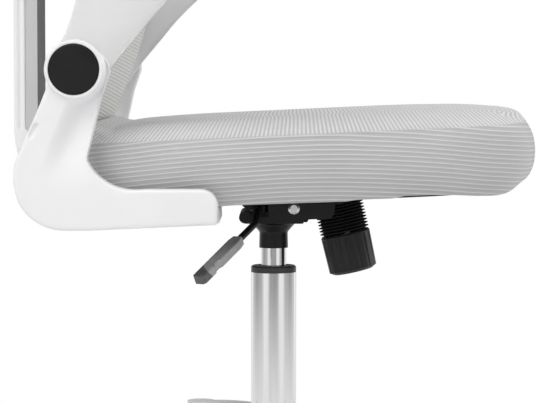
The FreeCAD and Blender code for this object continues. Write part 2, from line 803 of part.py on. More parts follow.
tongue = outline(bracket, "tongue", "XZ_Plane", [
    ("dims.plate_rad - 12", "dims.plate_low"),
    ("dims.plate_rad + 4", "dims.plate_low"),
    tension_point("0", "-dims.seat_disc_rad"),
    tension_point("-dims.seat_disc_thick", "-dims.seat_disc_rad + 6"),
    ("dims.plate_rad", "dims.plate_low + dims.tongue_thick"),
    ("dims.plate_rad - 12", plate_high),
])
pad(bracket, tongue, "2 * dims.tongue_half", both=True)
disc = doc.addObject("Part::Cylinder", "spring_disc")
disc.setExpression("Radius", "dims.seat_disc_rad")
disc.setExpression("Height", "dims.seat_disc_thick")
on_tension(disc)
passage = doc.addObject("Part::Cylinder", "spring_disc_hole")
passage.setExpression("Radius", "dims.disc_hole_rad")
passage.setExpression("Height", "dims.seat_disc_thick * 6")
place(passage, "dims.ten_x + dims.seat_disc_thick * 3 * %s" % lean_s, "0",
      "dims.ten_z - dims.seat_disc_thick * 3 * %s" % lean_c, Vector(0, -1, 0), "dims.ten_lean")
joined = boolean("Fuse", bracket, disc, "bracket_disc")
node(boolean("Cut", joined, passage, "bracket_done"), "column_bracket")

# Tension adjuster, on its own axis with Z up and zero at the spring disc.
knob_foot = "(-dims.knob_at - dims.knob_long)"
cup_floor = "(-dims.knob_at - dims.knob_cup_deep)"
knob = turned("tension_knob", [
    ("0", knob_foot),
    ("dims.knob_rad - 6", knob_foot + " + 1"),
    ("dims.knob_rad - 1", knob_foot + " + 4"),
    ("dims.knob_rad", "-dims.knob_at - 2"),
    ("dims.knob_rad - 1.5", "-dims.knob_at"),
    ("dims.knob_cup_rad", "-dims.knob_at"),
    ("dims.knob_cup_rad", cup_floor),
    ("dims.bolt_rad + 0.5", cup_floor),
    ("dims.bolt_rad + 0.5", "-dims.bolt_low - 1.5"),
    ("0", "-dims.bolt_low - 1.5"),
])
flute_ring = "dims.knob_rad + dims.flute_rad - dims.flute_in"
flutes = []
for number in range(int(val("dims.knob_flutes"))):
    flutes.append(("(%s) * cos(%d * 360deg / dims.knob_flutes)" % (flute_ring, number),
                   "(%s) * sin(%d * 360deg / dims.knob_flutes)" % (flute_ring, number)))
flute_cut = circles(knob, "flutes", "XY_Plane", flutes, "dims.flute_rad", "-dims.knob_at - 3")
pocket(knob, flute_cut, "dims.knob_long")
nut_corner = "(dims.nut_flat / cos(30deg))"


def hexagon(gap):
    size = "(%s + %s)" % (nut_corner, gap)
    return [("%s * cos(%d * 1deg)" % (size, 60 * k), "%s * sin(%d * 1deg)" % (size, 60 * k)) for k in range(6)]


pocket(knob, outline(knob, "nut_seat", "XY_Plane", hexagon("dims.fit_gap"), cup_floor), "dims.nut_tall")
node(on_tension(knob), "tension_knob")

nut = new_body("knob_nut")
pad(nut, outline(nut, "nut_hex", "XY_Plane", hexagon("0"), cup_floor), "dims.nut_tall", back=True)
nut_hole = circles(nut, "nut_hole", "XY_Plane", [("0", "0")], "dims.bolt_rad + dims.run_gap", cup_floor)
pocket(nut, nut_hole)
node(on_tension(nut), "knob_nut")

node(on_tension(turned("spring_cup", [
    ("dims.bolt_rad + 0.4", cup_floor),
    ("dims.cup_rad", cup_floor),
    ("dims.cup_rad", cup_floor + " + 2 * dims.cup_thick"),
    ("dims.cup_rad - 1", cup_floor + " + 2 * dims.cup_thick"),
    ("dims.cup_rad - 1", cup_floor + " + dims.cup_thick"),
    ("dims.bolt_rad + 0.4", cup_floor + " + dims.cup_thick"),
])), "spring_cup")

ribs = int(val("(dims.knob_at - 2 * dims.bellows_gap) / dims.rib_pitch"))
fold = [("dims.bellows_bore", "-dims.bellows_gap")]
low_end = "(-dims.bellows_gap - %d * dims.rib_pitch)" % ribs
fold.append(("dims.bellows_bore", low_end))
fold.append(("dims.rib_root", low_end))
for number in range(ribs, 0, -1):
    fold.append(("dims.rib_rad", "-dims.bellows_gap - %g * dims.rib_pitch" % (number - 0.5)))
    fold.append(("dims.rib_root", "-dims.bellows_gap - %d * dims.rib_pitch" % (number - 1)))
node(on_tension(turned("bellows", fold)), "bellows")

node(on_tension(turned("tension_bolt", [
    ("0", "-dims.bolt_low"),
    ("dims.bolt_rad - 1", "-dims.bolt_low"),
    ("dims.bolt_rad", "-dims.bolt_low + 1"),
    ("dims.bolt_rad", "dims.base_w + 1.8"),
    ("dims.bolt_head_rad", "dims.base_w + 1.8"),
    ("dims.bolt_head_rad - 1", "dims.base_w + 1.8 + dims.bolt_head_tall"),
    ("0", "dims.base_w + 1.8 + dims.bolt_head_tall"),
])), "tension_bolt")

coil_top = -val("dims.wire_rad") - 0.1
coil_low = val(cup_floor + " + dims.cup_thick + dims.wire_rad + 0.1")
coil_pitch = (coil_top - coil_low) / val("dims.coil_turns")
helix = Part.makeHelix(coil_pitch, coil_top - coil_low, val("dims.coil_rad"))
helix.translate(Vector(0, 0, coil_low))
start = helix.Vertexes[0].Point
wire_ring = Part.makeCircle(val("dims.wire_rad"), start, Vector(0, 1, coil_pitch / (2 * math.pi * val("dims.coil_rad"))))
coil_shape = Part.Wire(helix.Edges).makePipeShell([Part.Wire(wire_ring)], True, True)
coil = doc.addObject("Part::Feature", "tension_spring")
coil.Shape = coil_shape
node(on_tension(coil), "tension_spring")

# Height lever.
yoke = new_body("lever_pivot")
yoke_block = outline(yoke, "yoke_block", "YZ_Plane", [
    ("dims.yoke_y - dims.yoke_half", "dims.yoke_low"),
    ("dims.yoke_y + dims.yoke_half", "dims.yoke_low"),
    ("dims.yoke_y + dims.yoke_half", "dims.yoke_high"),
    ("dims.yoke_y - dims.yoke_half", "dims.yoke_high"),
], "dims.lever_x")
pad(yoke, yoke_block, "2 * dims.yoke_wide", both=True)
trunnion = circles(yoke, "trunnion", "YZ_Plane", [("dims.yoke_y", "dims.yoke_z")], "dims.trunnion_rad", "dims.lever_x")
pad(yoke, trunnion, "2 * (dims.yoke_wide + dims.ear_gap + dims.ear_thick)", both=True)
rod_way = circles(yoke, "rod_way", "XZ_Plane", [("dims.lever_x", "dims.lever_z")], "dims.lever_rad + dims.run_gap")
pocket(yoke, rod_way)
node(yoke, "lever_pivot")


def bent_path(points, radius):
    pieces = []
    last = points[0]
    for i in range(1, len(points) - 1):
        before = (points[i - 1] - points[i]).normalize()
        after = (points[i + 1] - points[i]).normalize()
        half = before.getAngle(after) / 2
        reach = radius / math.tan(half)
        enter = points[i] + before * reach
        leave = points[i] + after * reach
        middle_way = (before + after).normalize()
        centre = points[i] + middle_way * (radius / math.sin(half))
        pieces.append(Part.makeLine(last, enter))
        pieces.append(Part.Arc(enter, centre - middle_way * radius, leave).toShape())
        last = leave
    pieces.append(Part.makeLine(last, points[-1]))
    return Part.Wire(pieces)


def spot(x, y, z):
    return Vector(val(x), val(y), val(z))


grip_start = spot("dims.handle_x", "dims.handle_y", "dims.handle_z")
grip_end = spot("dims.handle_end_x", "dims.handle_end_y", "dims.handle_end_z")
grip_way = (grip_end - grip_start).normalize()
lever_path = bent_path([
    spot("0", "dims.lever_tip", "dims.lever_z"),
    spot("0", "dims.lever_knee_in", "dims.lever_z"),
    spot("dims.lever_x", "dims.lever_knee_out", "dims.lever_z"),
    spot("dims.lever_x", "dims.lever_turn_y", "dims.lever_z"),
    grip_start - grip_way * val("dims.lever_fall"),
    grip_start + grip_way * val("dims.grip_in"),
], val("dims.bend_rad"))
begin = spot("0", "dims.lever_tip", "dims.lever_z")
lever_ring = Part.Wire(Part.makeCircle(val("dims.lever_rad"), begin, Vector(0, -1, 0)))
lever = doc.addObject("Part::Feature", "lever_rod")
lever.Shape = lever_path.makePipeShell([lever_ring], True, False)
node(lever, "lever_rod")

# The handle's X runs along it and its Z is across its flat side.
grip_side = Vector(0, 0, 1).cross(grip_way).normalize()
grip_up = grip_way.cross(grip_side)
handle = new_body("handle_core")
grip_long = (grip_end - grip_start).Length
sheet.set("A%d" % (len(SIZES) + 1), "handle_long")
sheet.set("B%d" % (len(SIZES) + 1), "%.3f" % grip_long)
sheet.setAlias("B%d" % (len(SIZES) + 1), "handle_long")
doc.recompute()
grip = outline(handle, "grip", "XY_Plane", [
    ("0", "-dims.handle_wide / 2 + 1.5"),
    ("dims.handle_long * 0.1", "-dims.handle_wide / 2"),
    ("dims.handle_long * 0.96", "-dims.handle_wide / 2"),
    ("dims.handle_long", "-dims.handle_wide / 2 + 3"),
    ("dims.handle_long", "dims.handle_wide / 2 - 3"),
    ("dims.handle_long * 0.96", "dims.handle_wide / 2"),
    ("dims.handle_long * 0.72", "dims.handle_wide / 2"),
    ("dims.handle_long * 0.68", "dims.handle_wide / 2 - 2"),
    ("dims.handle_long * 0.60", "dims.handle_wide / 2 - 2"),
    ("dims.handle_long * 0.56", "dims.handle_wide / 2"),
    ("dims.handle_long * 0.1", "dims.handle_wide / 2"),
    ("0", "dims.handle_wide / 2 - 1.5"),
])
pad(handle, grip, "dims.handle_thick + 2", both=True)
soften(handle, 1.5, lambda e: abs(e.CenterOfMass.z) > 4.5 and e.CenterOfMass.x > 1)
handle.Placement = Placement(grip_start, Rotation(grip_way, grip_side, grip_up, "XYZ"))
doc.recompute()
grip_hole = doc.addObject("Part::Feature", "grip_hole")
grip_hole.Shape = Part.makeCylinder(val("dims.lever_rad + dims.fit_gap"), val("dims.grip_in + 0.1") + 8,
                                    grip_start - grip_way * 8, grip_way)
node(boolean("Cut", handle, grip_hole, "handle_done"), "lever_handle")

# Tilting housing: top plate with four wings, two side plates, holes.
top_w = "dims.base_w - dims.sheet_thick"
housing = new_body("tilt_housing")
wing = [
    ("dims.side_front + 21", "0"),
    ("dims.side_front + 21", "28"),
    ("dims.wing_u - 11", "56"),
    ("dims.wing_end", "60"),
    ("dims.wing_end", "dims.wing_out"),
    ("dims.wing_u - 15", "dims.wing_out"),
    ("dims.side_front - 3", "dims.side_in + dims.side_thick"),
    ("dims.side_rear", "dims.side_in + dims.side_thick"),
    ("20 - dims.wing_u", "dims.wing_out"),
    ("-dims.wing_end", "dims.wing_out"),
    ("-dims.wing_end", "60"),
    ("13 - dims.wing_u", "56"),
    ("-64", "28"),
]
below = [(u, "-(%s)" % v) for u, v in wing[1:]]
plate_outline = outline(housing, "plate_outline", "XY_Plane", wing[1:] + below[::-1], top_w)
pad(housing, plate_outline, "dims.sheet_thick")
side = [
    ("dims.side_rear", top_w + " + 1"),
    ("dims.side_rear + 1", top_w + " - 5"),
    ("dims.side_rear + 8", "2"),
    ("dims.side_rear + 9", "dims.side_low"),
    ("dims.side_front - 5", "dims.side_low"),
    ("dims.side_front - 1", "dims.side_low + 6"),
    ("dims.side_front", "dims.side_low + 14"),
    ("dims.side_front", top_w + " + 1"),
]
for name, offset in (("side_right", "dims.side_in"), ("side_left", "-dims.side_in - dims.side_thick")):
    pad(housing, outline(housing, name, "XZ_Plane", side, offset), "dims.side_thick")
pocket(housing, circles(housing, "axle_way", "XZ_Plane", [("0", "0")], "dims.axle_rad + dims.fit_gap"))
lever_slot = outline(housing, "lever_slot", "XZ_Plane", [
    ("dims.slot_rear", "dims.slot_low"),
    ("dims.slot_front", "dims.slot_low"),
    ("dims.slot_front", "dims.base_w + 1"),
    ("dims.slot_rear", "dims.base_w + 1"),
], "dims.notch_in")
pocket(housing, lever_slot, "60", back=True)
ten_u = "((dims.ten_x - dims.axle_x) * cos(dims.pitch * 1deg) + (dims.ten_z - dims.axle_z) * sin(dims.pitch * 1deg))"
ten_w = "((dims.ten_z - dims.axle_z) * cos(dims.pitch * 1deg) - (dims.ten_x - dims.axle_x) * sin(dims.pitch * 1deg))"
bolt_u = "(%s - (dims.base_w - %s) * tan((dims.ten_lean - dims.pitch) * 1deg))" % (ten_u, ten_w)
pocket(housing, circles(housing, "bolt_way", "XY_Plane", [(bolt_u, "0")], "dims.bolt_rad + 2", "dims.base_w"))
wing_holes = [("dims.wing_u", "dims.wing_v"), ("dims.wing_u", "-dims.wing_v"),
              ("-dims.wing_u", "dims.wing_v"), ("-dims.wing_u", "-dims.wing_v")]
pocket(housing, circles(housing, "wing_holes", "XY_Plane", wing_holes, "dims.screw_hole", "dims.base_w"))
node(on_seat(housing), "tilt_housing")

# The axle is turned about Z and laid along Y.
side_out = "(dims.side_in + dims.side_thick)"
axle = turned("tilt_axle", [
    ("0", "-%s - dims.axle_head" % side_out),
    ("dims.axle_head_rad - 2.5", "-%s - dims.axle_head" % side_out),
    ("dims.axle_head_rad", "-%s - dims.axle_head + 2" % side_out),
    ("dims.axle_head_rad", "-%s" % side_out),
    ("dims.axle_rad", "-%s" % side_out),
    ("dims.axle_rad", side_out),
    ("dims.axle_head_rad", side_out),
    ("dims.axle_head_rad", "%s + dims.axle_head - 2" % side_out),
    ("dims.axle_head_rad - 2.5", "%s + dims.axle_head" % side_out),
    ("0", "%s + dims.axle_head" % side_out),
])
place(axle, "dims.axle_x", "0", "dims.axle_z", Vector(1, 0, 0), "90")
node(axle, "tilt_axle")


# Seat outlines in seat coordinates, drawn in by the given amounts.
def seat_outline(body, name, level, side_by, front_by, rear_by):
    half = "(dims.seat_half - (%s))" % side_by
    front = "(dims.seat_front - (%s))" % front_by
    rear = "(dims.seat_rear + (%s))" % rear_by
    shy = "dims.seat_bow"
    front_in = "(%s - dims.corner_front)" % half
    rear_in = "(%s - dims.corner_rear)" % half
    bow_rad = "((%s * %s + %s * %s) / (2 * %s))" % (front_in, front_in, shy, shy, shy)
    return outline(body, name, "XY_Plane", [
        ("%s - %s" % (front, shy), "-" + front_in, "-" + bow_rad),
        ("%s - %s" % (front, shy), front_in, "-1.05 * dims.corner_front"),
        ("%s - %s - dims.corner_front" % (front, shy), half),
        ("%s + dims.corner_rear" % rear, half, "-1.02 * dims.corner_rear"),
        (rear, rear_in),
        (rear, "-" + rear_in, "-1.02 * dims.corner_rear"),
        ("%s + dims.corner_rear" % rear, "-" + half),
        ("%s - %s - dims.corner_front" % (front, shy), "-" + half, "-1.05 * dims.corner_front"),
    ], level)


pan = new_body("seat_pan")
pan_outline = seat_outline(pan, "pan_outline", "dims.base_w", "dims.pan_side", "dims.pan_front", "dims.pan_rear")
pad(pan, pan_outline, "dims.pan_thick")
head_well = circles(pan, "head_well", "XY_Plane", [("%s - 2" % bolt_u, "0")], "dims.bolt_head_rad + 4", "dims.base_w")
pocket(pan, head_well, "dims.bolt_head_tall + 5", back=True)
foot_bolts = []
for u in ("dims.foot_bolt_1", "dims.foot_bolt_2"):
    foot_bolts += [(u, "dims.foot_bolt_v"), (u, "-dims.foot_bolt_v")]
toe_bolts = []
for u in ("dims.toe_bolt_1", "dims.toe_bolt_2"):
    toe_bolts += [(u, "dims.toe_bolt_v"), (u, "-dims.toe_bolt_v")]
pan_holes = circles(pan, "pan_holes", "XY_Plane", wing_holes + foot_bolts + toe_bolts,
                    "dims.screw_rad + dims.fit_gap", "dims.base_w")
pocket(pan, pan_holes, "dims.screw_grip + 0.5", back=True)
node(on_seat(pan), "seat_pan")

# Cushion: level above the pan's underside, then how far the sides, front and rear draw in there.
CUSHION = [
    ("dims.base_w + dims.cover_up", "14", "20", "13"),
    ("26", "5", "8", "5"),
    ("38", "1.2", "2", "1"),
    ("54", "0", "0", "0"),
    ("70", "0.6", "1.6", "0.6"),
    ("82", "2.2", "5.2", "2.6"),
    ("90", "5.6", "9.4", "7"),
    ("96.5", "11.5", "15", "15"),
    ("101.5", "22", "25", "27"),
    ("105", "42", "46", "52"),
    ("107.2", "84", "88", "92"),
]
cushion = new_body("seat_cushion")
slices = []
for number, (level, side_by, front_by, rear_by) in enumerate(CUSHION):
    slices.append(seat_outline(cushion, "slice_%d" % number, level, side_by, front_by, rear_by))
loft(cushion, slices, "cushion_loft", ruled=True)
well = seat_outline(cushion, "pan_well", "dims.base_w + dims.pan_thick", "dims.pan_side - dims.pan_gap",
                    "dims.pan_front - dims.pan_gap", "dims.pan_rear - dims.pan_gap")
pocket(cushion, well, "dims.pan_thick + 2")
node(on_seat(cushion), "seat_cushion")

# Bolts under the seat: one shape, placed at every hole.
bolt = turned("bolt_master", [
    ("0", "-dims.screw_head"),
    ("dims.screw_head_rad - 1", "-dims.screw_head"),
    ("dims.screw_head_rad", "-dims.screw_head + 1"),
    ("dims.screw_head_rad", "0"),
    ("dims.screw_rad", "0"),
    ("dims.screw_rad", "dims.screw_grip"),
    ("0", "dims.screw_grip"),
])
long_bolt = turned("long_bolt_master", [
    ("0", "-dims.screw_head"),
    ("dims.screw_head_rad - 1", "-dims.screw_head"),
    ("dims.screw_head_rad", "-dims.screw_head + 1"),
    ("dims.screw_head_rad", "0"),
    ("dims.screw_rad", "0"),
    ("dims.screw_rad", "dims.base_w - dims.foot_low - dims.sink + dims.screw_grip"),
    ("0", "dims.base_w - dims.foot_low - dims.sink + dims.screw_grip"),
])
toe_bolt = turned("toe_bolt_master", [
    ("0", "-dims.screw_head"),
    ("dims.screw_head_rad - 1", "-dims.screw_head"),
    ("dims.screw_head_rad", "-dims.screw_head + 1"),
    ("dims.screw_head_rad", "0"),
    ("dims.screw_rad", "0"),
    ("dims.screw_rad", "dims.spine_foot - dims.sink + dims.screw_grip"),
    ("0", "dims.spine_foot - dims.sink + dims.screw_grip"),
])
bolts = []
for master, spots, level in ((bolt, wing_holes, top_w), (long_bolt, foot_bolts, "dims.foot_low + dims.sink"),
                             (toe_bolt, toe_bolts, "dims.base_w - dims.spine_foot + dims.sink")):
    for u, v in spots:
        bolts.append(copy_of(master, "bolt_%d" % len(bolts), u, v, level))
node(on_seat(group_of(bolts, "bolt_group")), "seat_bolts")

# Arm bracket on the sitter's right, in seat coordinates, then its mirror image.
arm_side = new_body("arm_bracket")
limb = [
    ("-240", "dims.arm_w - 17"),
    ("-272", "76", "-66"),
    ("-271", "30", "-52"),
    ("-227", "dims.foot_low + 1"),
    ("-205", "dims.foot_low"),
    ("dims.foot_front - 2", "dims.foot_low"),
    ("dims.foot_front", "21", "-18"),
    ("-93", "37"),
    ("-150", "39.5", "50"),
    ("-202", "72"),
    ("-187", "132"),
    ("-176.5", "158", "-24"),
    ("-190", "180"),
    ("-225", "180"),
]
pad(arm_side, outline(arm_side, "limb", "XZ_Plane", limb, "dims.bracket_in"), "dims.bracket_out - dims.bracket_in")
boss = circles(arm_side, "ring", "XZ_Plane", [("dims.arm_u", "dims.arm_w")], "dims.ring_rad", "dims.bracket_in")
pad(arm_side, boss, "dims.ring_out - dims.bracket_in")
soften(arm_side, 1.2, lambda e: abs(e.CenterOfMass.y + val("dims.ring_out")) < 0.01)
foot = outline(arm_side, "foot", "XZ_Plane", [
    ("dims.foot_rear", "dims.foot_low + 2.5"),
    ("-205", "dims.foot_low"),
    ("dims.foot_front", "dims.foot_low"),
    ("dims.foot_front", "dims.base_w"),
    ("dims.foot_rear", "dims.base_w"),
], "dims.foot_in")
pad(arm_side, foot, "dims.bracket_in - dims.foot_in + 8")
cap_seat = circles(arm_side, "cap_seat", "XZ_Plane", [("dims.arm_u", "dims.arm_w")], "dims.cap_rad + dims.fit_gap",
                   "dims.ring_out")
pocket(arm_side, cap_seat, "dims.cap_deep")
pivot_way = circles(arm_side, "pivot_way", "XZ_Plane", [("dims.arm_u", "dims.arm_w")],
                    "dims.pivot_rad + dims.fit_gap", "dims.ring_out")
pocket(arm_side, pivot_way, "60")
right_bolts = [item for item in foot_bolts if item[1].startswith("-")]
pocket(arm_side, circles(arm_side, "foot_holes", "XY_Plane", right_bolts, "dims.screw_hole", "dims.foot_low"),
       "dims.base_w", back=True)
pocket(arm_side, circles(arm_side, "foot_sinks", "XY_Plane", right_bolts, "dims.screw_head_rad + 0.6", "0"),
       "dims.foot_low + dims.sink", back=True)
on_seat(arm_side)
node(arm_side, "arm_bracket_right")
node(mirrored(arm_side, "arm_bracket_mirror"), "arm_bracket_left")

# Pivot position in chair coordinates.
pitch_s = "sin(dims.pitch * 1deg)"
pitch_c = "cos(dims.pitch * 1deg)"
pivot_x = "dims.axle_x + dims.arm_u * %s - dims.arm_w * %s" % (pitch_c, pitch_s)
pivot_z = "dims.axle_z + dims.arm_u * %s + dims.arm_w * %s" % (pitch_s, pitch_c)

cap = turned("cap_master", [
    ("0", "dims.ring_out - dims.cap_deep"),
    ("dims.cap_rad", "dims.ring_out - dims.cap_deep"),
    ("dims.cap_rad", "dims.ring_out + dims.cap_proud - 1"),
    ("dims.cap_rad - 1.5", "dims.ring_out + dims.cap_proud"),
    ("0", "dims.ring_out + dims.cap_proud"),
])
shoulder = turned("pivot_master", [
    ("0", "dims.arm_in - dims.pivot_head"),
    ("dims.pivot_head_rad - 2", "dims.arm_in - dims.pivot_head"),
    ("dims.pivot_head_rad", "dims.arm_in - dims.pivot_head + 1.5"),
    ("dims.pivot_head_rad", "dims.arm_in - 0.3"),
    ("dims.pivot_rad", "dims.arm_in - 0.3"),
    ("dims.pivot_rad", "dims.ring_out - dims.cap_deep - 0.5"),
    ("0", "dims.ring_out - dims.cap_deep - 0.5"),
])
for master, label in ((cap, "pivot_caps"), (shoulder, "pivot_bolts")):
    right = copy_of(master, label + "_right", pivot_x, "0", pivot_z, Vector(1, 0, 0), "90")
    left = copy_of(master, label + "_left", pivot_x, "0", pivot_z, Vector(1, 0, 0), "-90")
    node(group_of([right, left], label + "_pair"), label)

# Flip-up arm from its pivot, in the down position.
arm = new_body("arm")
reach_out = [
    ("26", "-10"),
    ("36", "4"),
    ("62.7", "36", "320"),
    ("106", "82", "90"),
    ("160", "114"),
    ("dims.pad_start + dims.pad_long - 14", "122", "-16"),
    ("dims.pad_start + dims.pad_long - 4", "dims.pad_low - 4"),
    ("dims.pad_start + dims.pad_long - 8", "dims.pad_low"),
    ("dims.pad_start + 16", "dims.pad_low", "-30"),
    ("8", "118", "300"),
    ("-10.7", "36"),
    ("-26", "8"),
    ("0", "-12"),
]
arm_thick = "(dims.arm_out - dims.arm_in)"
pad(arm, outline(arm, "arm_outline", "XZ_Plane", reach_out, "dims.arm_in"), arm_thick)
pad(arm, circles(arm, "arm_hub", "XZ_Plane", [("0", "0")], "dims.hub_arm_rad", "dims.arm_in"), arm_thick)
carrier = outline(arm, "carrier", "XY_Plane", [
    ("dims.pad_start + 22", "-dims.pad_out + 8"),
    ("dims.pad_start + dims.pad_long - 18", "-dims.pad_out + 8"),
    ("dims.pad_start + dims.pad_long - 8", "-dims.pad_out + 18"),
    ("dims.pad_start + dims.pad_long - 8", "-dims.arm_in"),
    ("dims.pad_start + 18", "-dims.arm_in"),
], "dims.pad_low - 8")
pad(arm, carrier, "8")
pocket(arm, circles(arm, "bush_way", "XZ_Plane", [("0", "0")], "dims.bush_arm_rad + dims.fit_gap"))
place(arm, pivot_x, "0", pivot_z)
node(arm, "arm_right")
node(mirrored(arm, "arm_mirror"), "arm_left")

bush = turned("arm_bush", [
    ("dims.pivot_rad + dims.run_gap", "dims.arm_in"),
    ("dims.bush_arm_rad", "dims.arm_in"),
    ("dims.bush_arm_rad", "dims.arm_out"),
    ("dims.pivot_rad + dims.run_gap", "dims.arm_out"),
])
node(copy_of(bush, "arm_bush_right", pivot_x, "0", pivot_z, Vector(1, 0, 0), "90"), "arm_bush_right")
node(copy_of(bush, "arm_bush_left", pivot_x, "0", pivot_z, Vector(1, 0, 0), "-90"), "arm_bush_left")

rest = new_body("arm_pad")


def pad_section(name, level, draw):
    near = "-dims.pad_out + %s" % draw
    far = "-dims.pad_in - %s" % draw
    back = "dims.pad_start + %s" % draw
    ahead = "dims.pad_start + dims.pad_long - %s" % draw
    return outline(rest, name, "XY_Plane", [
        ("%s + 22" % back, near),
        ("%s - 24" % ahead, near, "-24.5"),
        (ahead, "%s + 24" % near),
        (ahead, "%s - 24" % far, "-24.5"),
        ("%s - 24" % ahead, far),
        ("%s + 22" % back, far, "-22.5"),
        (back, "%s - 22" % far),
        (back, "%s + 22" % near, "-22.5"),
    ], level)


PAD = [("0", "3"), ("4", "0.6"), ("10", "0"), ("16", "0.6"), ("21", "3"), ("24", "7"), ("dims.pad_tall", "12")]
tiers = [pad_section("tier_%d" % i, "dims.pad_low + %s" % up, draw) for i, (up, draw) in enumerate(PAD)]
loft(rest, tiers, "pad_loft")
place(rest, pivot_x, "0", pivot_z)
node(rest, "arm_pad_right")
node(mirrored(rest, "arm_pad_mirror"), "arm_pad_left")


# Height of the pan's underside above the floor at a given X, plus an amount square to the pan.
def under_seat(x, more):
    slope = "((%s) - dims.axle_x) * tan(dims.pitch * 1deg)" % x
    return "(dims.axle_z + %s + (dims.base_w + (%s)) / cos(dims.pitch * 1deg))" % (slope, more)


spine = new_body("spine_core")
spine_side = [
    ("dims.spine_rear + 4", "dims.spine_top"),
    ("dims.spine_rear", "dims.spine_top - 6"),
    ("dims.spine_rear", "dims.bend_start", "-dims.bend_out_rad"),
    ("dims.bend_out_x", under_seat("dims.bend_out_x", "-dims.spine_foot")),
    ("dims.spine_toe", under_seat("dims.spine_toe", "-dims.spine_foot")),
    ("dims.spine_toe", under_seat("dims.spine_toe", "0")),
    ("dims.bend_in_x", under_seat("dims.bend_in_x", "0"), "dims.bend_in_rad"),
    ("dims.spine_front", "dims.bend_in_z"),
    ("dims.spine_front", "dims.panel_low - 10"),
    ("dims.spine_step", "dims.panel_low"),
    ("dims.spine_step", "dims.panel_top"),
    ("dims.spine_front", "dims.panel_top"),
    ("dims.spine_front", "dims.spine_top"),
]
pad(spine, outline(spine, "spine_side", "XZ_Plane", spine_side), "2 * dims.spine_half", both=True)
screw_spots = []
for y in ("dims.brace_screw_y", "-dims.brace_screw_y"):
    for sign in ("+", "-"):
        screw_spots.append((y, "dims.brace_low + dims.brace_tall / 2 %s dims.brace_screw_z" % sign))
screw_ways = circles(spine, "screw_ways", "YZ_Plane", screw_spots, "dims.brace_screw_rad + 0.1", "dims.spine_rear")
pocket(spine, screw_ways, "40", back=True)
screw_sinks = circles(spine, "screw_sinks", "YZ_Plane", screw_spots, "dims.brace_screw_head + 0.3", "dims.spine_rear")
pocket(spine, screw_sinks, "5", back=True)


# The bolt holes follow the pan's slope, so they are cut by placed cylinders.
def seat_cylinders(name, spots, radius, low, high):
    items = []
    for u, v in spots:
        rod = doc.addObject("Part::Cylinder", "%s_%d" % (name, len(items)))
        rod.setExpression("Radius", radius)
        rod.setExpression("Height", "(%s) - (%s)" % (high, low))
        place(rod, u, v, low)
        items.append(rod)
    return on_seat(group_of(items, name))


toe_low = "dims.base_w - dims.spine_foot"
shanks = seat_cylinders("toe_shanks", toe_bolts, "dims.screw_hole", toe_low + " - 2", "dims.base_w + 2")
sinks = seat_cylinders("toe_sinks", toe_bolts, "dims.screw_head_rad + 0.6", toe_low + " - 6", toe_low + " + dims.sink")
drilled = boolean("Cut", spine, shanks, "spine_drilled")
node(boolean("Cut", drilled, sinks, "spine_done"), "back_spine")

panel = new_body("spine_cover")
panel_side = outline(panel, "panel_side", "XZ_Plane", [
    ("dims.spine_step", "dims.panel_low + 0.5"),
    ("dims.spine_front", "dims.panel_low - 9"),
    ("dims.spine_front", "dims.panel_top - 0.3"),
    ("dims.spine_step", "dims.panel_top - 0.3"),
])
pad(panel, panel_side, "2 * dims.panel_half", both=True)
node(panel, "spine_cover")

# Back surface: the middle line's X at each level; the sides wrap forward with the square of Y.
BACK_LINE = [("395", "-250"), ("445", "-229"), ("500", "-212"), ("560", "-198"), ("630", "-186.5"),
             ("710", "-183.5"), ("800", "-199"), ("900", "-225"), ("1015", "-256")]
wing_x = "dims.wrap * dims.slab_half * dims.slab_half"
wrap_rad = "((dims.slab_half * dims.slab_half + (%s) * (%s)) / (2 * %s))" % (wing_x, wing_x, wing_x)


def curved_slab(name, set_back, thick):
    body = new_body(name)
    bands = []
    for number, (level, middle) in enumerate(BACK_LINE):
        front = "%s + %s - (%s)" % (middle, wing_x, set_back)
        behind = "%s - (%s)" % (front, thick)
        bands.append(outline(body, "%s_band_%d" % (name, number), "XY_Plane", [
            (front, "-dims.slab_half", "%s" % wrap_rad),
            (front, "dims.slab_half"),
            (behind, "dims.slab_half", "-%s" % wrap_rad),
            (behind, "-dims.slab_half"),
        ], level))
    loft(body, bands, name + "_loft")
    return body


def back_loop(draw):
    half = [
        ("dims.back_low_half", "dims.back_low + %s" % draw, "-(dims.back_low_round - %s)" % draw),
        ("dims.back_knee_half - 0.82 * %s" % draw, "dims.back_knee + 0.5 * %s" % draw, "-dims.back_side_round"),
        ("dims.back_wide_half - %s" % draw, "dims.back_wide", "-dims.back_side_round"),
        ("dims.back_neck_half - %s" % draw, "dims.back_neck - 0.25 * %s" % draw, "-(dims.back_top_round - %s)" % draw),
        ("dims.back_top_half", "dims.back_top - %s" % draw, "-dims.back_crest_round"),
    ]
    other = []
    for i in range(len(half) - 1, -1, -1):
        y, z = half[i][0], half[i][1]
        if i > 0:
            other.append(("-(%s)" % y, z, half[i - 1][2]))
        else:
            other.append(("-(%s)" % y, z, "dims.back_arch_round"))
    return half, other


def back_prism(name, draw):
    body = new_body(name)
    half, other = back_loop(draw)
    pad(body, outline(body, name + "_outline", "YZ_Plane", half + other, "-330"), "290")
    return body


outer_prism = back_prism("back_outer", "0")
inner_prism = back_prism("back_inner", "dims.frame_bar")
cloth_prism = back_prism("back_cloth", "dims.cloth_in")
frame_slab = curved_slab("frame_slab", "dims.mesh_thick", "dims.frame_deep - dims.mesh_thick")
mesh_slab = curved_slab("mesh_slab", "0", "dims.mesh_thick")
whole_frame = boolean("Common", frame_slab, outer_prism, "whole_frame")
frame = boolean("Cut", whole_frame, inner_prism, "frame_done")
node(frame, "back_frame")
mesh = boolean("Common", mesh_slab, cloth_prism, "mesh_done")
node(mesh, "back_mesh")

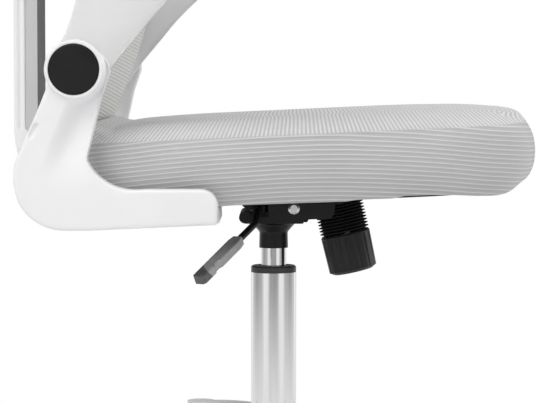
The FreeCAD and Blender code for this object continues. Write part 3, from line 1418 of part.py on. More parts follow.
brace = new_body("brace_core")
brace_rise = "(dims.brace_end_x - dims.brace_mid_x)"
brace_rad = "((dims.brace_end_y * dims.brace_end_y + %s * %s) / (2 * %s))" % (brace_rise, brace_rise, brace_rise)
band = outline(brace, "brace_band", "XY_Plane", [
    ("dims.brace_end_x", "-dims.brace_end_y", brace_rad),
    ("dims.brace_end_x", "dims.brace_end_y"),
    ("dims.brace_end_x - dims.brace_thick", "dims.brace_end_y", "-" + brace_rad),
    ("dims.brace_end_x - dims.brace_thick", "-dims.brace_end_y"),
], "dims.brace_low")
pad(brace, band, "dims.brace_tall")
boss = outline(brace, "brace_boss", "XY_Plane", [
    ("dims.spine_front", "-dims.brace_boss"),
    ("dims.brace_mid_x - 4", "-dims.brace_boss"),
    ("dims.brace_mid_x - 4", "dims.brace_boss"),
    ("dims.spine_front", "dims.brace_boss"),
], "dims.brace_low")
pad(brace, boss, "dims.brace_tall")
screw_seats = circles(brace, "screw_seats", "YZ_Plane", screw_spots, "dims.brace_screw_rad + 0.1", "dims.spine_front - 2")
pocket(brace, screw_seats, "9", back=True)
node(boolean("Cut", brace, frame, "brace_done"), "back_brace")

screw = turned("screw_master", [
    ("0", "0.8"),
    ("dims.brace_screw_head - 1", "0.8"),
    ("dims.brace_screw_head", "2"),
    ("dims.brace_screw_head", "5"),
    ("dims.brace_screw_rad", "5"),
    ("dims.brace_screw_rad", "dims.spine_front - dims.spine_rear + 6"),
    ("0", "dims.spine_front - dims.spine_rear + 6"),
])
screws = []
for y, z in screw_spots:
    screws.append(copy_of(screw, "screw_%d" % len(screws), "dims.spine_rear", y, z, Vector(0, 1, 0), "90"))
node(group_of(screws, "screw_group"), "back_screws")

doc.recompute()
bad = [obj.Label for obj in doc.Objects if "Invalid" in obj.State or "Error" in obj.State]
for obj in nodes:
    shape = obj.Shape
    if shape.isNull() or not shape.isValid() or not shape.Solids:
        bad.append(obj.Label)
if bad:
    raise RuntimeError("these objects did not build: " + ", ".join(bad))
os.makedirs("parts", exist_ok=True)
for obj in nodes:
    obj.Shape.exportStep("parts/%s.step" % obj.Label)
print("written", len(nodes), "sub-parts")
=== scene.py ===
import json
import math
import bpy
from mathutils import Matrix, Vector


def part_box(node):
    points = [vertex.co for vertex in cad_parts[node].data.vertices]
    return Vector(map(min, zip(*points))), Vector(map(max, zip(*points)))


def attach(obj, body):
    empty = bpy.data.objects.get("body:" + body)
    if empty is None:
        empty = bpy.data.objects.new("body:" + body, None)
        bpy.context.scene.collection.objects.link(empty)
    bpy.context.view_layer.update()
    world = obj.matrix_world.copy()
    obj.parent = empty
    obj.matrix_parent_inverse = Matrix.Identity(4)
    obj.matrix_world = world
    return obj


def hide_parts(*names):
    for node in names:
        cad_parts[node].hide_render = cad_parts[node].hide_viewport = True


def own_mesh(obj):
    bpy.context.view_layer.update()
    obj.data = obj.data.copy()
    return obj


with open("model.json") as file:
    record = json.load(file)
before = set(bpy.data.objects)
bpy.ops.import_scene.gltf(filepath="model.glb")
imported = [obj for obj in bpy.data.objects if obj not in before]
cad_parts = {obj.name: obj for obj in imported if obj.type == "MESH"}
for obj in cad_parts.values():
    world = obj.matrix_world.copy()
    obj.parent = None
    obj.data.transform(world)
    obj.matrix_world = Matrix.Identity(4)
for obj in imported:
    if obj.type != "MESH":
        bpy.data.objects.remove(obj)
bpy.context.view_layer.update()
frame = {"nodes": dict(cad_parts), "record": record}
nodes = frame["nodes"]
print("frame loaded with", len(nodes), "nodes")

# the seat's own axes: u forward, v left, w up, from the tilt axle
seatAxes = {"axleX": 0.0224, "axleZ": 0.3535, "pitch": math.radians(2.6)}
# the tension screw's axis, pointing down
screwAxis = {"x": 0.0716, "z": 0.3566, "lean": math.radians(12.7)}
armPivot = {"x": -0.19633, "z": 0.50583}


def seatToWorld(u, v, w):
    c, s = math.cos(seatAxes["pitch"]), math.sin(seatAxes["pitch"])
    return Vector((seatAxes["axleX"] + u * c - w * s, v, seatAxes["axleZ"] + u * s + w * c))


def worldToSeat(point):
    c, s = math.cos(seatAxes["pitch"]), math.sin(seatAxes["pitch"])
    dx, dz = point.x - seatAxes["axleX"], point.z - seatAxes["axleZ"]
    return Vector((dx * c + dz * s, point.y, dz * c - dx * s))


def smoothStep(low, high, value):
    share = min(1.0, max(0.0, (value - low) / (high - low)))
    return share * share * (3 - 2 * share)


# small modelling helpers
mergeGap = 0.00002


def clearSelection():
    if bpy.context.mode != "OBJECT":
        bpy.ops.object.mode_set(mode="OBJECT")
    bpy.ops.object.select_all(action="DESELECT")


def takeUp(piece):
    clearSelection()
    piece.select_set(True)
    bpy.context.view_layer.objects.active = piece
    return piece


def copyOfNode(node, name):
    # a merged copy of a solid's mesh, to be worked on
    piece = bpy.data.objects.new(name, nodes[node].data.copy())
    bpy.context.collection.objects.link(piece)
    piece.data.materials.clear()
    takeUp(piece)
    if piece.data.has_custom_normals:
        bpy.ops.mesh.customdata_custom_splitnormals_clear()
    bpy.ops.object.mode_set(mode="EDIT")
    bpy.ops.mesh.select_all(action="SELECT")
    bpy.ops.mesh.remove_doubles(threshold=mergeGap)
    bpy.ops.object.mode_set(mode="OBJECT")
    return piece


def applyModifiers(piece):
    takeUp(piece)
    for modifier in list(piece.modifiers):
        bpy.ops.object.modifier_apply(modifier=modifier.name)


def remeshed(piece, voxel):
    takeUp(piece)
    piece.data.remesh_voxel_size = voxel
    piece.data.use_remesh_preserve_volume = True
    bpy.ops.object.voxel_remesh()


def relaxed(piece, rounds, factor=0.5):
    smoother = piece.modifiers.new("relax", "SMOOTH")
    smoother.factor = factor
    smoother.iterations = rounds
    applyModifiers(piece)


def subdivided(piece, levels):
    divider = piece.modifiers.new("divide", "SUBSURF")
    divider.levels = levels
    divider.render_levels = levels
    applyModifiers(piece)


def shadeSmooth(piece, angle=None):
    takeUp(piece)
    if angle is None:
        bpy.ops.object.shade_smooth()
    else:
        bpy.ops.object.shade_smooth_by_angle(angle=math.radians(angle))


def finishPiece(piece, body, slotName, material, *replaced):
    piece.data.materials.clear()
    piece.data.materials.append(material)
    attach(piece, body)
    if replaced:
        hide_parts(*replaced)
    return piece


def turnedPiece(name, profile, steps):
    # spins a chain of (radius, height) points about Z
    mesh = bpy.data.meshes.new(name)
    points = [(radius, 0.0, height) for radius, height in profile]
    mesh.from_pydata(points, [(i, i + 1) for i in range(len(points) - 1)], [])
    piece = bpy.data.objects.new(name, mesh)
    bpy.context.collection.objects.link(piece)
    takeUp(piece)
    bpy.ops.object.mode_set(mode="EDIT")
    bpy.ops.mesh.select_all(action="SELECT")
    bpy.ops.mesh.spin(steps=steps, angle=2 * math.pi, center=(0, 0, 0), axis=(0, 0, 1))
    bpy.ops.mesh.select_all(action="SELECT")
    bpy.ops.mesh.remove_doubles(threshold=mergeGap)
    bpy.ops.mesh.normals_make_consistent(inside=False)
    bpy.ops.object.mode_set(mode="OBJECT")
    return piece


def settle(piece, matrix):
    # puts the place into the mesh, with the object left at the origin
    takeUp(piece)
    piece.matrix_world = matrix
    bpy.ops.object.transform_apply(location=True, rotation=True, scale=True)


# materials

class Finish:
    def __init__(self, name):
        self.material = bpy.data.materials.new(name)
        self.material.use_nodes = True
        self.tree = self.material.node_tree
        self.shader = self.tree.nodes["Principled BSDF"]
        self.place = self.add("ShaderNodeTexCoord").outputs["Object"]

    def add(self, kind, **settings):
        made = self.tree.nodes.new(kind)
        for key, value in settings.items():
            setattr(made, key, value)
        return made

    def link(self, source, target):
        self.tree.links.new(source, target)

    def put(self, target, value):
        if isinstance(value, bpy.types.NodeSocket):
            self.link(value, target)
        else:
            target.default_value = value

    def math(self, operation, first, second=0.0, third=0.0):
        made = self.add("ShaderNodeMath", operation=operation)
        for socket, value in zip(made.inputs, (first, second, third)):
            self.put(socket, value)
        return made.outputs[0]

    def mix(self, share, first, second):
        made = self.add("ShaderNodeMix", data_type="RGBA")
        self.put(made.inputs["Factor"], share)
        self.put(made.inputs["A"], first)
        self.put(made.inputs["B"], second)
        return made.outputs["Result"]

    def noise(self, scale, detail=3.0, place=None):
        made = self.add("ShaderNodeTexNoise")
        self.link(place or self.place, made.inputs["Vector"])
        made.inputs["Scale"].default_value = scale
        made.inputs["Detail"].default_value = detail
        return made.outputs["Fac"]

    def drift(self, scale, detail, dark, light):
        # two tones that pass slowly into each other
        return self.mix(self.spread(self.noise(scale, detail), 0.35, 0.65, 0.0, 1.0), dark, light)

    def spread(self, value, low, high, toLow, toHigh):
        made = self.add("ShaderNodeMapRange")
        for socket, number in zip(made.inputs, (value, low, high, toLow, toHigh)):
            self.put(socket, number)
        return made.outputs["Result"]

    def bump(self, height, distance, strength=1.0, before=None):
        made = self.add("ShaderNodeBump")
        made.inputs["Strength"].default_value = strength
        made.inputs["Distance"].default_value = distance
        self.link(height, made.inputs["Height"])
        if before is not None:
            self.link(before, made.inputs["Normal"])
        return made.outputs["Normal"]

    def split(self, vector):
        made = self.add("ShaderNodeSeparateXYZ")
        self.link(vector, made.inputs[0])
        return made.outputs

    def wave(self, value, pitch):
        # 0 to 1 and back over each pitch
        turned = self.math("MULTIPLY", value, 2 * math.pi / pitch)
        return self.math("MULTIPLY_ADD", self.math("SINE", turned), 0.5, 0.5)


def grey(level, tint=(1.0, 1.0, 1.0)):
    return (level * tint[0], level * tint[1], level * tint[2], 1.0)


def mouldedFinish(name, dark, light, roughness, grain, depth, shine=0.5):
    # moulded or painted surface: slow tone drift, fine grain, uneven gloss
    look = Finish(name)
    look.put(look.shader.inputs["Base Color"], look.drift(9.0, 4.0, dark, light))
    look.put(look.shader.inputs["Roughness"],
             look.spread(look.noise(38.0, 5.0), 0.3, 0.7, roughness * 0.88, roughness * 1.12))
    look.put(look.shader.inputs["Normal"], look.bump(look.noise(grain, 2.0), depth))
    look.shader.inputs["Specular IOR Level"].default_value = shine
    return look.material


def metalFinish(name, dark, light, roughness, streak, stretch):
    # plated or polished metal with faint lengthwise streaks
    look = Finish(name)
    mapping = look.add("ShaderNodeMapping")
    mapping.inputs["Scale"].default_value = stretch
    look.link(look.place, mapping.inputs["Vector"])
    lines = look.noise(streak, 4.0, mapping.outputs["Vector"])
    look.put(look.shader.inputs["Base Color"], look.mix(look.spread(lines, 0.3, 0.7, 0.0, 1.0), dark, light))
    look.put(look.shader.inputs["Roughness"], look.spread(lines, 0.25, 0.75, roughness * 0.7, roughness * 1.3))
    look.shader.inputs["Metallic"].default_value = 1.0
    return look.material


# the hollow and crest tones are painted light: painted shade in the hollows and pores between the ribs, painted
# highlight on the rib crests
seatCloth = {
    "sidePitch": 0.0047, "topPitch": 0.0043, "seam": 0.086, "seamSoft": 0.0008, "dot": 0.00135, "sway": 0.007,
    "arch": 0.323, "archAt": -0.031, "leanFrom": -0.19, "leanTo": 0.21, "leanRear": -1.2, "leanFront": 1.15,
    "edgeFrom": 0.1, "edgeTo": 0.17, "dark": 0.435, "light": 0.475, "hollow": 0.33, "crest": 0.70,
}


def seatClothFinish():
    # ribbed mesh cloth: ribs arch along the side band and fan out over the top panel
    look = Finish("greyRibbedCloth")
    toSeat = look.add("ShaderNodeMapping", vector_type="TEXTURE")
    toSeat.inputs["Location"].default_value = (seatAxes["axleX"], 0.0, seatAxes["axleZ"])
    toSeat.inputs["Rotation"].default_value = (0.0, -seatAxes["pitch"], 0.0)
    look.link(look.place, toSeat.inputs["Vector"])
    u, v, w = look.split(toSeat.outputs["Vector"])
    sway = look.math("MULTIPLY", look.math("SUBTRACT", look.noise(5.0, 2.0), 0.5), seatCloth["sway"])
    fromArch = look.math("SUBTRACT", u, seatCloth["archAt"])
    arch = look.math("MULTIPLY", look.math("MULTIPLY", fromArch, fromArch), seatCloth["arch"])
    level = look.math("ADD", look.math("ADD", w, arch), sway)
    side = look.wave(level, seatCloth["sidePitch"])
    halfway = look.wave(level, seatCloth["sidePitch"] / 2)
    sideCrest = look.math("MULTIPLY_ADD", look.math("POWER", halfway, 3.0), 0.2,
                          look.math("MULTIPLY", look.math("POWER", side, 5.0), 0.8))
    lean = look.spread(u, seatCloth["leanFrom"], seatCloth["leanTo"], seatCloth["leanRear"], seatCloth["leanFront"])
    # only the sides lean: on the nose a lean would spread the ribs into wide bands
    nearEdge = look.spread(look.math("ABSOLUTE", v), seatCloth["edgeFrom"], seatCloth["edgeTo"], 0.0, 1.0)
    lean = look.math("MULTIPLY", lean, nearEdge)
    across = look.math("MULTIPLY_ADD", look.math("SUBTRACT", w, seatCloth["seam"]), lean, u)
    across = look.math("MULTIPLY_ADD", sway, 0.35, across)
    top = look.wave(across, seatCloth["topPitch"])
    gap = look.math("SUBTRACT", 1.0, top)
    topCrest = look.math("MULTIPLY_ADD", look.math("POWER", gap, 1.6), -0.85, 1.0)
    seam, soft = seatCloth["seam"], seatCloth["seamSoft"]
    onTop = look.spread(w, seam - soft, seam + soft, 0.0, 1.0)
    below = look.math("SUBTRACT", 1.0, onTop)
    crest = look.math("MULTIPLY_ADD", sideCrest, below, look.math("MULTIPLY", topCrest, onTop))
    dots = look.math("MULTIPLY", look.wave(look.math("ADD", u, v), seatCloth["dot"]),
                     look.wave(look.math("SUBTRACT", look.math("ADD", u, w), v), seatCloth["dot"]))
    # painted shade: the hollows and pores between the ribs are darkened
    hollow = look.math("MULTIPLY", dots, look.math("SUBTRACT", 1.0, crest))
    plain = look.drift(14.0, 3.0, grey(seatCloth["dark"]), grey(seatCloth["light"]))
    shaded = look.mix(look.math("MULTIPLY", hollow, 0.5), plain, grey(seatCloth["hollow"]))
    # painted highlight: the rib crests are lightened
    look.put(look.shader.inputs["Base Color"], look.mix(crest, shaded, grey(seatCloth["crest"])))
    look.shader.inputs["Roughness"].default_value = 0.85
    look.shader.inputs["Sheen Weight"].default_value = 0.12
    look.shader.inputs["Sheen Roughness"].default_value = 0.5
    height = look.math("SUBTRACT", crest, look.math("MULTIPLY", dots, 0.3))
    look.put(look.shader.inputs["Normal"], look.bump(height, 0.0006, 0.7))
    return look.material


# the hollow and crest tones are painted light: painted shade in the hollows and pores between the ribs, painted
# highlight on the rib crests
backRibs = {
    "ribPitch": 0.0036, "dot": 0.0014, "sway": 0.005, "low": 0.45, "high": 0.85, "lowBow": 0.62, "highBow": -0.25,
    "tint": (1.0, 1.0, 0.975), "dark": 0.63, "light": 0.68, "hollow": 0.48, "crest": 0.82,
}


def backClothFinish():
    # stretched back cloth: level ribs that bow more towards the seat
    look = Finish("warmRibbedMesh")
    axes = look.split(look.place)
    y, z = axes["Y"], axes["Z"]
    sway = look.math("MULTIPLY", look.math("SUBTRACT", look.noise(4.0, 2.0), 0.5), backRibs["sway"])
    bow = look.math("MULTIPLY", look.math("MULTIPLY", y, y),
                    look.spread(z, backRibs["low"], backRibs["high"], backRibs["lowBow"], backRibs["highBow"]))
    rib = look.wave(look.math("ADD", look.math("ADD", z, bow), sway), backRibs["ribPitch"])
    crest = look.math("POWER", rib, 1.8)
    dots = look.math("MULTIPLY", look.wave(look.math("ADD", y, z), backRibs["dot"]),
                     look.wave(look.math("SUBTRACT", y, z), backRibs["dot"]))
    # painted shade: the hollows and pores between the ribs are darkened
    hollow = look.math("MULTIPLY", dots, look.math("SUBTRACT", 1.0, crest))
    tint = backRibs["tint"]
    plain = look.drift(10.0, 3.0, grey(backRibs["dark"], tint), grey(backRibs["light"], tint))
    shaded = look.mix(look.math("MULTIPLY", hollow, 0.5), plain, grey(backRibs["hollow"], tint))
    # painted highlight: the rib crests are lightened
    look.put(look.shader.inputs["Base Color"], look.mix(crest, shaded, grey(backRibs["crest"], tint)))
    look.shader.inputs["Roughness"].default_value = 0.85
    look.put(look.shader.inputs["Normal"],
             look.bump(look.math("SUBTRACT", rib, look.math("MULTIPLY", dots, 0.35)), 0.0006, 0.7))
    return look.material


# the end tone is painted shade on the paddle's end face
leverShape = {"run": (0.70, 0.72), "border": 0.1654, "edge": 0.0006, "end": 0.12, "dark": 0.36, "light": 0.45}


def leverFinish():
    # grey paddle whose end is coloured darker as painted shade, where the end face turns from the light
    look = Finish("greyLeverShadedEnd")
    border, edge = leverShape["border"], leverShape["edge"]
    axes = look.split(look.place)
    along = look.math("MULTIPLY_ADD", axes["Z"], leverShape["run"][1],
                      look.math("MULTIPLY", axes["X"], leverShape["run"][0]))
    body = look.spread(along, border - edge, border + edge, 0.0, 1.0)
    tone = look.drift(60.0, 4.0, grey(leverShape["dark"]), grey(leverShape["light"]))
    look.put(look.shader.inputs["Base Color"], look.mix(body, grey(leverShape["end"]), tone))
    look.put(look.shader.inputs["Roughness"], look.spread(look.noise(38.0, 5.0), 0.3, 0.7, 0.42, 0.55))
    look.put(look.shader.inputs["Normal"], look.bump(look.noise(900.0, 2.0), 0.00008))
    look.shader.inputs["Specular IOR Level"].default_value = 0.3
    return look.material


coolTint = (1, 1, 1.01)
finishes = {
    "white": mouldedFinish("glossWhiteMoulding", grey(0.83, coolTint), grey(0.86, coolTint), 0.34, 900.0, 0.00002),
    # the arms are the same white moulding with a little less gloss, coloured darker as painted shade where they sit
    # back behind the pivot rings
    "armWhiteShaded": mouldedFinish("satinWhiteArmShaded", grey(0.72, coolTint), grey(0.75, coolTint), 0.38, 900.0, 0.00002),
    "seat": seatClothFinish(),
    "back": backClothFinish(),
    "chrome": metalFinish("polishedChrome", grey(0.80), grey(0.88, (1, 1, 1.02)), 0.09, 420.0, (1.0, 1.0, 0.02)),
    "zinc": metalFinish("zincPlate", grey(0.66), grey(0.78, (1, 1, 1.03)), 0.3, 160.0, (1.0, 1.0, 1.0)),
    "blackSteel": mouldedFinish("blackCoatedSteel", grey(0.008), grey(0.012), 0.34, 620.0, 0.00006, 0.25),
    "blackPlastic": mouldedFinish("blackMoulding", grey(0.013), grey(0.021), 0.45, 1500.0, 0.00008, 0.25),
    "capPlastic": mouldedFinish("charcoalGrain", grey(0.009), grey(0.018), 0.6, 1100.0, 0.00016, 0.2),
    "collar": mouldedFinish("darkGreyCollar", grey(0.045), grey(0.06), 0.4, 1200.0, 0.00006, 0.3),
    "bellows": mouldedFinish("blackBellowsRubber", grey(0.006), grey(0.011), 0.6, 700.0, 0.00008, 0.25),
    "pan": mouldedFinish("darkSeatPan", grey(0.035), grey(0.05), 0.6, 800.0, 0.00008, 0.3),
    "lever": leverFinish(),
    "panelSide": mouldedFinish("greySpinePanel", grey(0.53), grey(0.58), 0.45, 900.0, 0.00004),
    # the spine's front face: a darker grey, partly painted shade
    "panelFrontShaded": mouldedFinish("darkSpineFaceShaded", grey(0.155), grey(0.18), 0.5, 900.0, 0.00006),
    "pad": mouldedFinish("softBlackPad", grey(0.022), grey(0.032), 0.6, 1300.0, 0.00012, 0.3),
    "tread": mouldedFinish("greyTread", grey(0.05), grey(0.07), 0.6, 700.0, 0.0001),
}
print("finishes made:", len(finishes))

slotFinish = {
    "white_plastic": "white", "chrome": "chrome", "bright_steel": "zinc", "black_steel": "blackSteel",
    "black_plastic": "blackPlastic", "bellows_rubber": "bellows", "pan_plastic": "pan", "lever_plastic": "lever",
    "panel_plastic": "panelSide", "pad_soft": "pad", "wheel_rubber": "tread", "grey_fabric": "seat", "back_mesh": "back",
}
for entry in frame["record"]["subparts"]:
    nodes[entry["node"]].data.materials.clear()
    nodes[entry["node"]].data.materials.append(finishes[slotFinish[entry["material_slot"]]])
nodes["pivot_caps"].data.materials[0] = finishes["capPlastic"]
nodes["guide_bush"].data.materials[0] = finishes["collar"]


# seat cushion: foam under ribbed cloth, swollen by simulation
cushionShape = {
    "voxel": 0.006, "relax": 4, "pressure": 1.5, "frames": 14, "cap": 0.002, "heldBelow": 0.032,
    "shrink": 0.0005, "shrinkHeight": (0.02, 0.04),
    "seamWide": 0.005, "seamDeep": 0.0018, "seamFront": (0.12, 0.22), "seamFacing": (0.15, 0.5),
    "hem": 0.0022, "hemSide": (0.2, 0.225), "hemHeight": (0.024, 0.034),
    "hemRear": (-0.105, -0.08), "hemFront": (0.1, 0.115),
    "rearFrom": -0.181, "rearLift": 0.56, "rearEase": 0.004, "rearMost": 0.018, "rearHeight": (0.055, 0.085),
    "crestDrop": 0.0053, "crestFrom": 0.088, "crestTo": 0.106, "crestFront": (0.22, 0.25),
    "noseDrop": 0.011, "nose": (0.15, 0.2),
    "frontDrop": 0.0058, "frontRise": (0.13, 0.225), "frontEnd": (0.216, 0.252), "frontSide": (0.16, 0.21),
    "frontHeight": (0.02, 0.06),
}


def swell(piece, shape, isHeld):
    rest = [vertex.co.copy() for vertex in piece.data.vertices]
    held = piece.vertex_groups.new(name="held")
    held.add([v.index for v in piece.data.vertices if isHeld(v)], 1.0, "REPLACE")
    cloth = piece.modifiers.new("foam", "CLOTH")
    cloth.settings.vertex_group_mass = "held"
    cloth.settings.use_pressure = True
    cloth.settings.uniform_pressure_force = shape["pressure"]
    cloth.settings.effector_weights.gravity = 0.0
    cloth.settings.quality = 6
    for step in range(1, shape["frames"] + 1):
        bpy.context.scene.frame_set(step)
    applyModifiers(piece)
    bpy.context.scene.frame_set(1)
    for vertex, start in zip(piece.data.vertices, rest):
        moved = vertex.co - start
        if moved.length > shape["cap"]:
            vertex.co = start + moved.normalized() * shape["cap"]
    piece.vertex_groups.clear()


def cushionShare(key, value):
    return smoothStep(*cushionShape[key], value)


def dressCushion(piece):
    shape = cushionShape
    normals = [vertex.normal.copy() for vertex in piece.data.vertices]
    for vertex, normal in zip(piece.data.vertices, normals):
        local = worldToSeat(vertex.co)
        sideways = cushionShare("seamFacing", math.hypot(normal.x, normal.y))
        near = math.exp(-((local.z - seatCloth["seam"]) / shape["seamWide"]) ** 2)
        fading = 1 - cushionShare("seamFront", local.x)
        vertex.co -= normal * shape["seamDeep"] * near * sideways * fading
        # along the middle of each side the hem hangs below the pan, which shows only nearer the front
        hanging = cushionShare("hemSide", abs(local.y)) * (1 - cushionShare("hemHeight", local.z))
        hanging *= cushionShare("hemRear", local.x) * (1 - cushionShare("hemFront", local.x))
        vertex.co.z -= shape["hem"] * hanging
        # the rear crest stays high, the middle is sat in, and the lower front corner hangs full
        behind = max(0.0, shape["rearFrom"] - local.x)
        lift = shape["rearLift"] * behind * behind / (behind + shape["rearEase"])
        vertex.co.z += min(lift, shape["rearMost"]) * cushionShare("rearHeight", local.z)
        nose = shape["noseDrop"] * cushionShare("nose", local.x)
        crest = smoothStep(shape["crestFrom"] - nose, shape["crestTo"] - nose, local.z)
        crest *= 1 - cushionShare("crestFront", local.x)
        vertex.co.z -= shape["crestDrop"] * crest
        front = cushionShare("frontRise", local.x) ** 1.5 * (1 - cushionShare("frontEnd", local.x))
        front *= cushionShare("frontSide", abs(local.y)) * (1 - cushionShare("frontHeight", local.z))
        vertex.co.z -= shape["frontDrop"] * front


def makeCushion():
    piece = copyOfNode("seat_cushion", "seatCushion")
    remeshed(piece, cushionShape["voxel"])
    relaxed(piece, cushionShape["relax"])
    normals = [vertex.normal.copy() for vertex in piece.data.vertices]
    for vertex, normal in zip(piece.data.vertices, normals):
        vertex.co -= normal * cushionShape["shrink"] * cushionShare("shrinkHeight", worldToSeat(vertex.co).z)
    swell(piece, cushionShape, lambda v: worldToSeat(v.co).z < cushionShape["heldBelow"])
    relaxed(piece, 2)
    subdivided(piece, 1)
    dressCushion(piece)
    shadeSmooth(piece)
    return finishPiece(piece, "seat", "grey_fabric", finishes["seat"], "seat_cushion")


seatCushion = makeCushion()
print("seat cushion:", len(seatCushion.data.polygons), "faces")


# back cloth: stretched in the frame, bellied a little towards the sitter
backShape = {"belly": 0.004, "level": 0.72, "tall": 0.25, "wide": 0.2, "flat": (0.48, 0.64)}


def makeBackCloth():
    piece = copyOfNode("back_mesh", "backCloth")
    for vertex in piece.data.vertices:
        across = min(1.0, abs(vertex.co.y) / backShape["wide"])
        along = min(1.0, abs(vertex.co.z - backShape["level"]) / backShape["tall"])
        vertex.co.x += backShape["belly"] * (1 - across ** 2) * (1 - along ** 2)
    shadeSmooth(piece, 40)
    return finishPiece(piece, "seat", "back_mesh", finishes["back"], "back_mesh")


makeBackCloth()
print("back cloth made")


# white mouldings with soft edges
mouldings = {
    "arm_bracket_right": {"name": "armBracketRight", "body": "seat", "voxel": 0.0018, "rounds": 14},
    "arm_bracket_left": {"name": "armBracketLeft", "body": "seat", "voxel": 0.0018, "rounds": 14},
    # the arms take the darker white, which is painted shade
    "arm_right": {"name": "armRight", "body": "arm_right", "voxel": 0.0018, "rounds": 12, "look": "armWhiteShaded"},
    "arm_left": {"name": "armLeft", "body": "arm_left", "voxel": 0.0018, "rounds": 12, "look": "armWhiteShaded"},
    "back_frame": {"name": "backFrame", "body": "seat", "voxel": 0.0018, "rounds": 8},
    "back_spine": {"name": "backSpine", "body": "seat", "voxel": 0.0015, "rounds": 10},
    "back_brace": {"name": "backBrace", "body": "seat", "voxel": 0.002, "rounds": 6},
}

# dished limb below each pivot, running down from the ring to the heel, with the small slot behind it and the full heel
dishShape = {
    "top": (-0.2040, 0.4754), "run": (-0.389, -0.921), "deep": 0.012, "wall": 0.020, "wide": 0.056, "long": 0.088,
    "slotFrom": (-0.2396, 0.4397), "slotTo": (-0.2348, 0.4496), "slotWide": 0.0024, "slotDeep": 0.003,
    "heel": 0.002, "heelHeight": (0.41, 0.47), "heelRear": (-0.19, -0.12), "facing": (0.3, 0.8), "hidden": 0.1,
    "ring": (0.0295, 0.037), "start": 0.015,
}
# the arm's long lower edge is turned in on both faces
armEdge = {
    "start": (-0.1604, 0.509), "run": (0.7823, 0.6226), "band": (-0.004, 0.034), "outer": 0.0055, "inner": 0.0065,
    "begin": (-0.03, 0.02), "end": (0.12, 0.17), "ring": (0.029, 0.04), "facing": (0.2, 0.7),
}
spineGroove = {"x": -0.2745, "wide": 0.0018, "deep": 0.0017, "low": 0.44, "top": 0.79, "facing": (0.6, 0.9)}


def segmentDistance(x, z, start, end):
    dx, dz = end[0] - start[0], end[1] - start[1]
    share = ((x - start[0]) * dx + (z - start[1]) * dz) / (dx * dx + dz * dz)
    share = min(1.0, max(0.0, share))
    return math.hypot(x - start[0] - share * dx, z - start[1] - share * dz)


def dishBracket(piece):
    runX, runZ = dishShape["run"]
    for vertex, normal in [(v, v.normal.copy()) for v in piece.data.vertices]:
        heel = 1 - smoothStep(*dishShape["heelHeight"], vertex.co.z)
        vertex.co.x -= dishShape["heel"] * heel * (1 - smoothStep(*dishShape["heelRear"], vertex.co.x))
        side = -1.0 if vertex.co.y < 0 else 1.0
        if normal.y * side < dishShape["hidden"]:
            continue
        facing = smoothStep(*dishShape["facing"], normal.y * side)
        x, z = vertex.co.x, vertex.co.z
        dx, dz = x - dishShape["top"][0], z - dishShape["top"][1]
        along, across = dx * runX + dz * runZ, -dx * runZ + dz * runX
        dish = smoothStep(0.0, dishShape["wall"], across)
        dish *= 1 - smoothStep(dishShape["wall"], dishShape["wide"], across)
        dish *= 1 - smoothStep(dishShape["start"], dishShape["long"], along)
        dish *= smoothStep(*dishShape["ring"], math.hypot(x - armPivot["x"], z - armPivot["z"]))
        slot = segmentDistance(x, z, dishShape["slotFrom"], dishShape["slotTo"])
        slot = 1 - smoothStep(dishShape["slotWide"] * 0.5, dishShape["slotWide"] * 1.25, slot)
        vertex.co.y -= side * facing * dishShape["deep"] * dish
        vertex.co -= normal * dishShape["slotDeep"] * slot


def turnArmEdge(piece):
    runX, runZ = armEdge["run"]
    for vertex, normal in [(v, v.normal.copy()) for v in piece.data.vertices]:
        side = -1.0 if vertex.co.y < 0 else 1.0
        dx, dz = vertex.co.x - armEdge["start"][0], vertex.co.z - armEdge["start"][1]
        along, inside = dx * runX + dz * runZ, -dx * runZ + dz * runX
        turned = (1 - smoothStep(*armEdge["band"], inside)) ** 1.5
        turned *= smoothStep(*armEdge["begin"], along) * (1 - smoothStep(*armEdge["end"], along))
        fromPivot = math.hypot(vertex.co.x - armPivot["x"], vertex.co.z - armPivot["z"])
        turned *= smoothStep(*armEdge["ring"], fromPivot)
        out = normal.y * side
        depth = armEdge["outer"] * smoothStep(*armEdge["facing"], out)
        depth -= armEdge["inner"] * smoothStep(*armEdge["facing"], -out)
        vertex.co.y -= side * depth * turned


def grooveSpine(piece):
    for vertex, normal in [(v, v.normal.copy()) for v in piece.data.vertices]:
        facing = smoothStep(*spineGroove["facing"], abs(normal.y))
        if facing == 0.0 or not spineGroove["low"] < vertex.co.z < spineGroove["top"]:
            continue
        near = math.exp(-((vertex.co.x - spineGroove["x"]) / spineGroove["wide"]) ** 2)
        vertex.co.y -= math.copysign(spineGroove["deep"] * near * facing, normal.y)


shaping = {
    "arm_bracket_right": dishBracket, "arm_bracket_left": dishBracket,
    "arm_right": turnArmEdge, "arm_left": turnArmEdge, "back_spine": grooveSpine,
}


def makeMoulding(node, shape):
    piece = copyOfNode(node, shape["name"])
    remeshed(piece, shape["voxel"])
    relaxed(piece, shape["rounds"])
    if node in shaping:
        shaping[node](piece)
        relaxed(piece, 1)
    shadeSmooth(piece)
    return finishPiece(piece, shape["body"], "white_plastic", finishes[shape.get("look", "white")], node)


for node, shape in mouldings.items():
    made = makeMoulding(node, shape)
    print(shape["name"], len(made.data.polygons), "faces")


# lip round each pivot cap
lipShape = {"bore": 0.0255, "rim": 0.0292, "inner": 0.2755, "face": 0.2822, "round": 0.0012}


